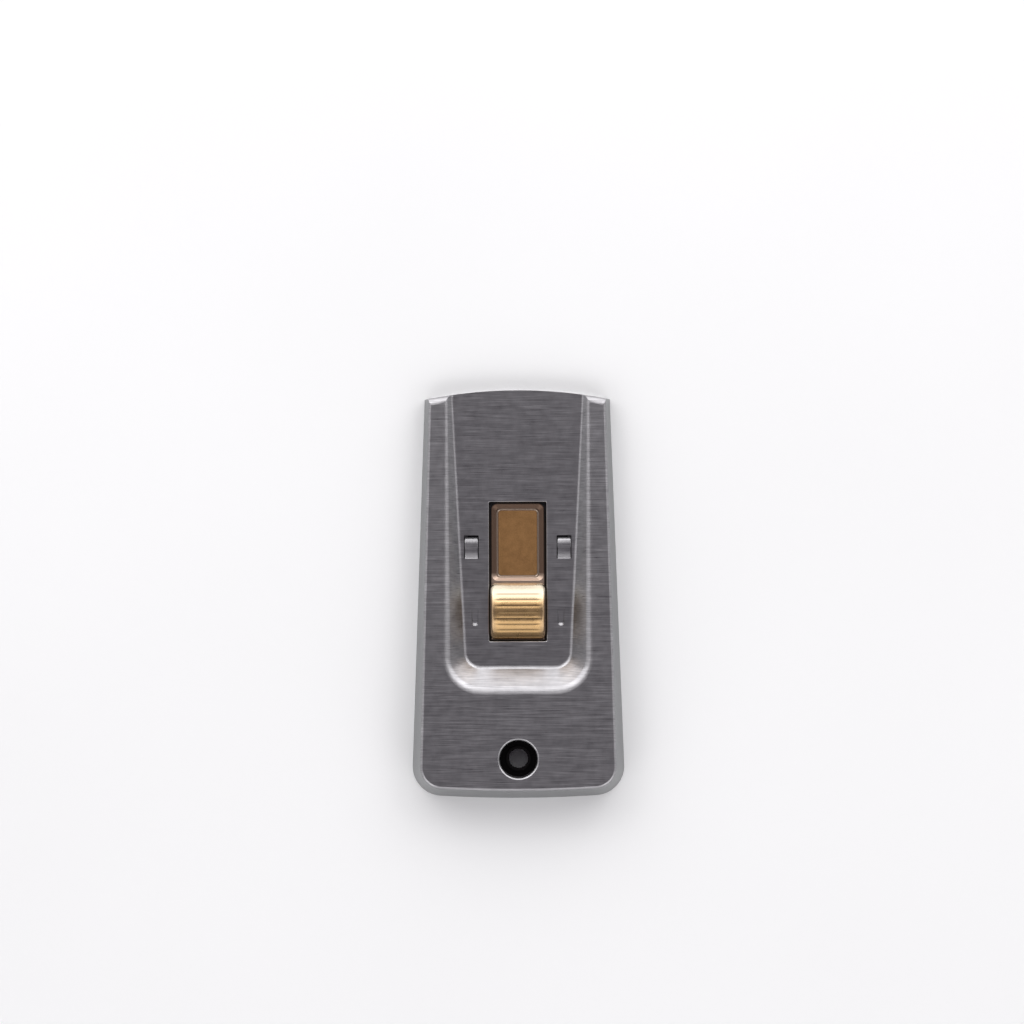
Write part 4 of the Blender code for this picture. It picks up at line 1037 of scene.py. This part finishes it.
def noise(tree, scale, detail, size=(1, 1, 1)):
    """Noise on object coordinates whose grain measures size times 1 / scale."""
    stretch = tuple(scale / share for share in size)
    place = add_node(tree, "Mapping", [("Vector", object_place(tree))], Scale=stretch)
    texture = add_node(tree, "TexNoise", [("Vector", place.outputs[0])], Scale=1.0, Detail=detail)
    return texture.outputs["Fac"]


def ranged(tree, value, low, high, from_low=0.3, from_high=0.7):
    """A value's range from from_low to from_high, mapped to low to high and clamped there."""
    node = add_node(tree, "MapRange", [("Value", value)])
    node.inputs["From Min"].default_value = from_low
    node.inputs["From Max"].default_value = from_high
    node.inputs["To Min"].default_value = low
    node.inputs["To Max"].default_value = high
    return node.outputs["Result"]


def maths(tree, operation, first, second=0):
    """The result of one operation on outputs or plain numbers."""
    node = add_node(tree, "Math", operation=operation)
    for index, value in enumerate((first, second)):
        if isinstance(value, (int, float)):
            node.inputs[index].default_value = value
        else:
            tree.links.new(value, node.inputs[index])
    return node.outputs[0]


def length_of(tree, across, along):
    """Length of a vector in the plane of the covers, from its two parts."""
    squares = [maths(tree, "MULTIPLY", part, part) for part in (across, along)]
    return maths(tree, "SQRT", maths(tree, "ADD", *squares))


def blended(tree, first, share, second, second_share):
    """A weighted sum of two outputs."""
    first = maths(tree, "MULTIPLY", first, share)
    return maths(tree, "ADD", first, maths(tree, "MULTIPLY", second, second_share))


def mixed(tree, share, first, second):
    """One colour or colour output blended into another by a share from 0 to 1."""
    node = add_node(tree, "Mix", data_type="RGBA")
    ends = [socket for socket in node.inputs if socket.type == "RGBA"]
    for socket, colour in zip(ends, (first, second)):
        if isinstance(colour, tuple):
            socket.default_value = (*colour, 1)
        else:
            tree.links.new(colour, socket)
    tree.links.new(share, node.inputs["Factor"])
    return next(socket for socket in node.outputs if socket.type == "RGBA")


def roughen(tree, shader, height):
    """Links a height in metres to a shader as its bump."""
    bump = add_node(tree, "Bump", [("Height", height)], Strength=1.0, Distance=1.0)
    tree.links.new(bump.outputs["Normal"], shader.inputs["Normal"])


def down_the_hole(tree, place):
    """1 on the walls inside the hang hole, which take a painted near-black shade, and 0 elsewhere."""
    across, along, height = separated(tree, place)
    radius = length_of(tree, across, maths(tree, "SUBTRACT", along, HOLE_Y))
    inside = ranged(tree, radius, 1, 0, HOLE_RADIUS + NEAR, HOLE_RADIUS + 2 * NEAR)
    return maths(tree, "MULTIPLY", inside, ranged(tree, height, 0, 1, 2 * NEAR, 4 * NEAR))


def upright_side(tree, normal):
    """1 on steep walls that face sideways or rearwards, and 0 on the flats."""
    _, along, upward = separated(tree, normal)
    steep = ranged(tree, maths(tree, "ABSOLUTE", upward), 1, 0, 0.3, 0.9)
    return maths(tree, "MULTIPLY", steep, ranged(tree, along, 1, 0, 0.1, 0.4))


def brushed_metal(
    name, dark, light, roughness, grain, lines=0.00011, wave=0.000001, polish=0.04, walls=None
):
    """Metal with brush lines along X, faint blotches and a slightly wavy sheet.

    The lines are that wide and grain times as long. Where the pair walls is given, steep walls take it
    as painted shade, and the inside of the hang hole takes a painted near-black shade.
    """
    finish, tree, shader = finish_nodes(name, roughness)
    down = min(grain, 12)
    fine = noise(tree, 1 / lines, 2, (grain, 1, down))
    broad = noise(tree, 1 / (lines * 3), 1, (grain * 0.4, 1, down * 0.4))
    blotch = noise(tree, 500, 3)
    streaks = blended(tree, fine, 0.6, broad, 0.2)
    shade = maths(tree, "ADD", streaks, maths(tree, "MULTIPLY", blotch, 0.2))
    colour = mixed(tree, ranged(tree, shade, 0, 1, 0.32, 0.68), dark, light)
    if walls:
        # Painted shade: the darker pair on steep walls, and near-black inside the hang hole
        place = add_node(tree, "TexCoord").outputs
        shaded_wall_colour = mixed(tree, ranged(tree, shade, 0, 1, 0.36, 0.64), *walls)
        colour = mixed(tree, upright_side(tree, place["Normal"]), colour, shaded_wall_colour)
        colour = mixed(tree, down_the_hole(tree, place["Object"]), colour, (0.03, 0.028, 0.028))
    tree.links.new(colour, shader.inputs["Base Color"])
    rough = ranged(tree, shade, roughness - polish, roughness + polish, 0.32, 0.68)
    tree.links.new(rough, shader.inputs["Roughness"])
    roughen(tree, shader, blended(tree, fine, wave, noise(tree, 90, 1), 0.00002))
    return finish


def outside_pan_floor(tree, across, along):
    """Distance from the border of the pan's floor, a round-cornered rectangle; negative on it."""
    middle, half = (PAN_FLOOR_FRONT + PAN_FLOOR_REAR) / 2, (PAN_FLOOR_FRONT - PAN_FLOOR_REAR) / 2
    from_middle = maths(tree, "ABSOLUTE", maths(tree, "SUBTRACT", along, middle))
    past = []
    for distance, reach in ((across, PAN_FLOOR_HALF_WIDTH), (from_middle, half)):
        beyond = maths(tree, "SUBTRACT", distance, reach - PAN_FLOOR_RADIUS)
        past.append(maths(tree, "MAXIMUM", beyond, 0))
    return maths(tree, "SUBTRACT", length_of(tree, *past), PAN_FLOOR_RADIUS)


def rib_valleys(tree, across, along):
    """1 along the bottom of each groove between the hump's ribs, where shade is painted."""
    place = maths(tree, "DIVIDE", maths(tree, "SUBTRACT", RIBS_FRONT, along), RIB_PITCH)
    groove = ranged(tree, maths(tree, "PINGPONG", place, 0.5), 1, 0, 0.03, 0.17)
    from_middle = maths(tree, "ABSOLUTE", maths(tree, "SUBTRACT", place, RIBS / 2))
    ribbed = ranged(tree, from_middle, 1, 0, RIBS / 2 + 0.1, RIBS / 2 + 0.2)
    long = ranged(tree, across, 1, 0, RIB_HALF_LENGTH - 0.0009, RIB_HALF_LENGTH)
    return maths(tree, "MULTIPLY", groove, maths(tree, "MULTIPLY", ribbed, long))


def pan_colour(tree, across, along, shade):
    """Brass at and below the slide's sheet: painted shade on the pan's floor and walls, with painted
    light at its rear and its bead.
    """
    # Painted shade on the pan's walls, with painted light where the rear wall near the hump faces the
    # lamps
    near_hump = ranged(tree, along, 1, 0, PAN_REAR + 0.0009, PAN_REAR + 0.0018)
    shaded_pan_walls = mixed(tree, near_hump, (0.14, 0.092, 0.068), (0.52, 0.39, 0.31))
    # Painted highlight: a paler line along the bead round the pan's floor
    outside = outside_pan_floor(tree, across, along)
    from_bead = maths(tree, "ABSOLUTE", maths(tree, "SUBTRACT", outside, 0.00028))
    bead = ranged(tree, from_bead, 1, 0, 0.00005, 0.00022)
    colour = mixed(tree, bead, shaded_pan_walls, (0.5, 0.4, 0.32))
    # Painted shade: the pan's floor takes a darker brown than the hump's brass
    shaded_pan_floor = mixed(tree, shade, (0.47, 0.25, 0.1), (0.58, 0.315, 0.13))
    colour = mixed(tree, ranged(tree, outside, 1, 0, -0.00007, 0.00007), colour, shaded_pan_floor)
    # Painted shade: near-black under the cover's edge and behind the hump
    cover_edge = TONGUE_HALF_WIDTH - PAN_MARGIN
    below_cover = ranged(tree, across, 0, 1, cover_edge, cover_edge + 0.0002)
    behind_hump = ranged(tree, along, 1, 0, HUMP_REAR - NEAR, HUMP_REAR + NEAR / 2)
    unlit = maths(tree, "MAXIMUM", below_cover, behind_hump)
    return mixed(tree, unlit, colour, (0.03, 0.025, 0.022))


def crown_colour(tree, across, along, shade):
    """Brass of the hump: a painted highlight at its front, and painted shade on its flanks and between
    its ribs.
    """
    # Painted highlight: paler brass across the hump's front
    front_highlight = ranged(tree, along, 0, 1, HUMP_FRONT - 0.0045, HUMP_FRONT - 0.0022)
    brass = mixed(tree, shade, (0.74, 0.475, 0.215), (0.81, 0.53, 0.255))
    colour = mixed(tree, front_highlight, brass, (0.66, 0.59, 0.46))
    # Painted shade on the hump's flanks, behind its front
    flank_shade = ranged(tree, across, 0, 0.8, 0.0045, 0.0059)
    flank_shade = maths(tree, "MULTIPLY", flank_shade, maths(tree, "SUBTRACT", 1, front_highlight))
    colour = mixed(tree, flank_shade, colour, (0.36, 0.27, 0.19))
    # Painted shade along the grooves between the ribs
    groove_shade = maths(tree, "MULTIPLY", rib_valleys(tree, across, along), 0.65)
    return mixed(tree, groove_shade, colour, (0.22, 0.14, 0.07))


def pressed_brass():
    """Brass-coloured sheet with painted shade in and around the pan, and polished with a painted
    highlight on the hump.
    """
    finish, tree, shader = finish_nodes("pressed_brass", 0.3)
    across, along, height = separated(tree, object_place(tree))
    across = maths(tree, "ABSOLUTE", across)
    grain = noise(tree, 5200, 2)
    shade = ranged(tree, blended(tree, grain, 0.6, noise(tree, 700, 3), 0.4), 0, 1, 0.36, 0.64)
    raised = ranged(tree, height, 0, 1, SLIDE_TOP + 0.00002, SLIDE_TOP + 0.0001)
    pan, crown = pan_colour(tree, across, along, shade), crown_colour(tree, across, along, shade)
    tree.links.new(mixed(tree, raised, pan, crown), shader.inputs["Base Color"])
    polished = maths(tree, "MULTIPLY", raised, -0.11)
    rough = maths(tree, "ADD", ranged(tree, shade, 0.37, 0.43, 0, 1), polished)
    tree.links.new(rough, shader.inputs["Roughness"])
    roughen(tree, shader, maths(tree, "MULTIPLY", grain, 0.00000025))
    return finish


def floor_finish():
    finish, tree, shader = finish_nodes("pale_floor", 0.8)
    shader.inputs["Metallic"].default_value = 0
    shade = ranged(tree, noise(tree, 6, 2), 0, 1)
    tree.links.new(mixed(tree, shade, (0.92,) * 3, (0.95,) * 3), shader.inputs["Base Color"])
    return finish


# Floor, light and camera

def add_floor():
    bm = bmesh.new()
    bmesh.ops.create_grid(bm, x_segments=8, y_segments=8, size=3)
    floor = mesh_object("floor", bm)
    floor.data.materials.append(floor_finish())
    floor.location.z = -0.00005


def add_panel(name, azimuth, elevation, distance, width, height, radiance):
    """A soft panel that faces the scraper. Azimuth 0 is the blade end, 90 is +X."""
    light = bpy.data.lights.new(name, "AREA")
    light.shape = "RECTANGLE"
    light.size = width
    light.size_y = height
    light.energy = radiance * math.pi * width * height
    obj = linked(name, light)
    turn, rise = math.radians(azimuth), math.radians(elevation)
    level = math.cos(rise)
    away = Vector((math.sin(turn) * level, math.cos(turn) * level, math.sin(rise)))
    obj.location = away * distance
    obj.rotation_euler = away.to_track_quat("Z", "Y").to_euler()


def light_scene():
    world = bpy.data.worlds.new("studio")
    world.use_nodes = True
    world.node_tree.nodes["Background"].inputs["Color"].default_value = (0.151, 0.141, 0.158, 1)
    bpy.context.scene.world = world
    for panel in PANELS:
        add_panel(*panel)


def add_camera():
    """A camera straight above the scraper, which sees that width of the object from its distance."""
    distance, seen_width = 2.0, 0.225
    camera = bpy.data.cameras.new("camera")
    camera.sensor_width = 36
    camera.lens = camera.sensor_width * distance / seen_width
    camera.clip_start = 0.05
    obj = linked("camera", camera)
    obj.location = (-0.00123, 0.0181, distance + 0.005)
    obj.rotation_euler.z = math.radians(-0.2)
    bpy.context.scene.camera = obj


# The walls pairs of both cover finishes are painted shade on steep walls
cover_steel = brushed_metal(
    "brushed_cover_steel", (0.27, 0.264, 0.274), (0.57, 0.56, 0.575), 0.31, 60,
    walls=((0.19, 0.194, 0.2), (0.29, 0.294, 0.3)),
)
back_steel = brushed_metal(
    "brushed_back_steel", (0.38, 0.37, 0.385), (0.58, 0.57, 0.585), 0.36, 50,
    walls=((0.3, 0.3, 0.31), (0.42, 0.42, 0.43)),
)
slide_brass = pressed_brass()
# Painted shade: the carrier is near-black, so the gaps round the slide show it as shadow
carrier_painted_shade = brushed_metal(
    "carrier_painted_shade_steel", (0.045, 0.045, 0.047), (0.085, 0.083, 0.085), 0.4, 10
)
spring_steel = brushed_metal("blued_spring_steel", (0.2, 0.22, 0.27), (0.3, 0.32, 0.37), 0.33, 20)
rivet_steel = brushed_metal("rivet_steel", (0.45, 0.45, 0.45), (0.58, 0.58, 0.57), 0.35, 1)
blade_steel = brushed_metal(
    "ground_blade_steel", (0.4, 0.41, 0.425), (0.52, 0.53, 0.545), 0.24, 0.02, lines=0.0045
)
spine_steel = brushed_metal("spine_steel", (0.42, 0.43, 0.46), (0.56, 0.57, 0.6), 0.3, 40)

front_cover(cover_steel)
back_cover(back_steel)
thumb_slide(slide_brass)
carrier(carrier_painted_shade)
blade(blade_steel)
blade_spine(spine_steel)
for node, finish in (
    ("lock_spring", spring_steel),
    ("spring_rivet_left", rivet_steel),
    ("spring_rivet_right", rivet_steel),
):
    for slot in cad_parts[node].material_slots:
        slot.material = finish

add_floor()
light_scene()
add_camera()
bpy.context.scene.view_settings.view_transform = "Standard"
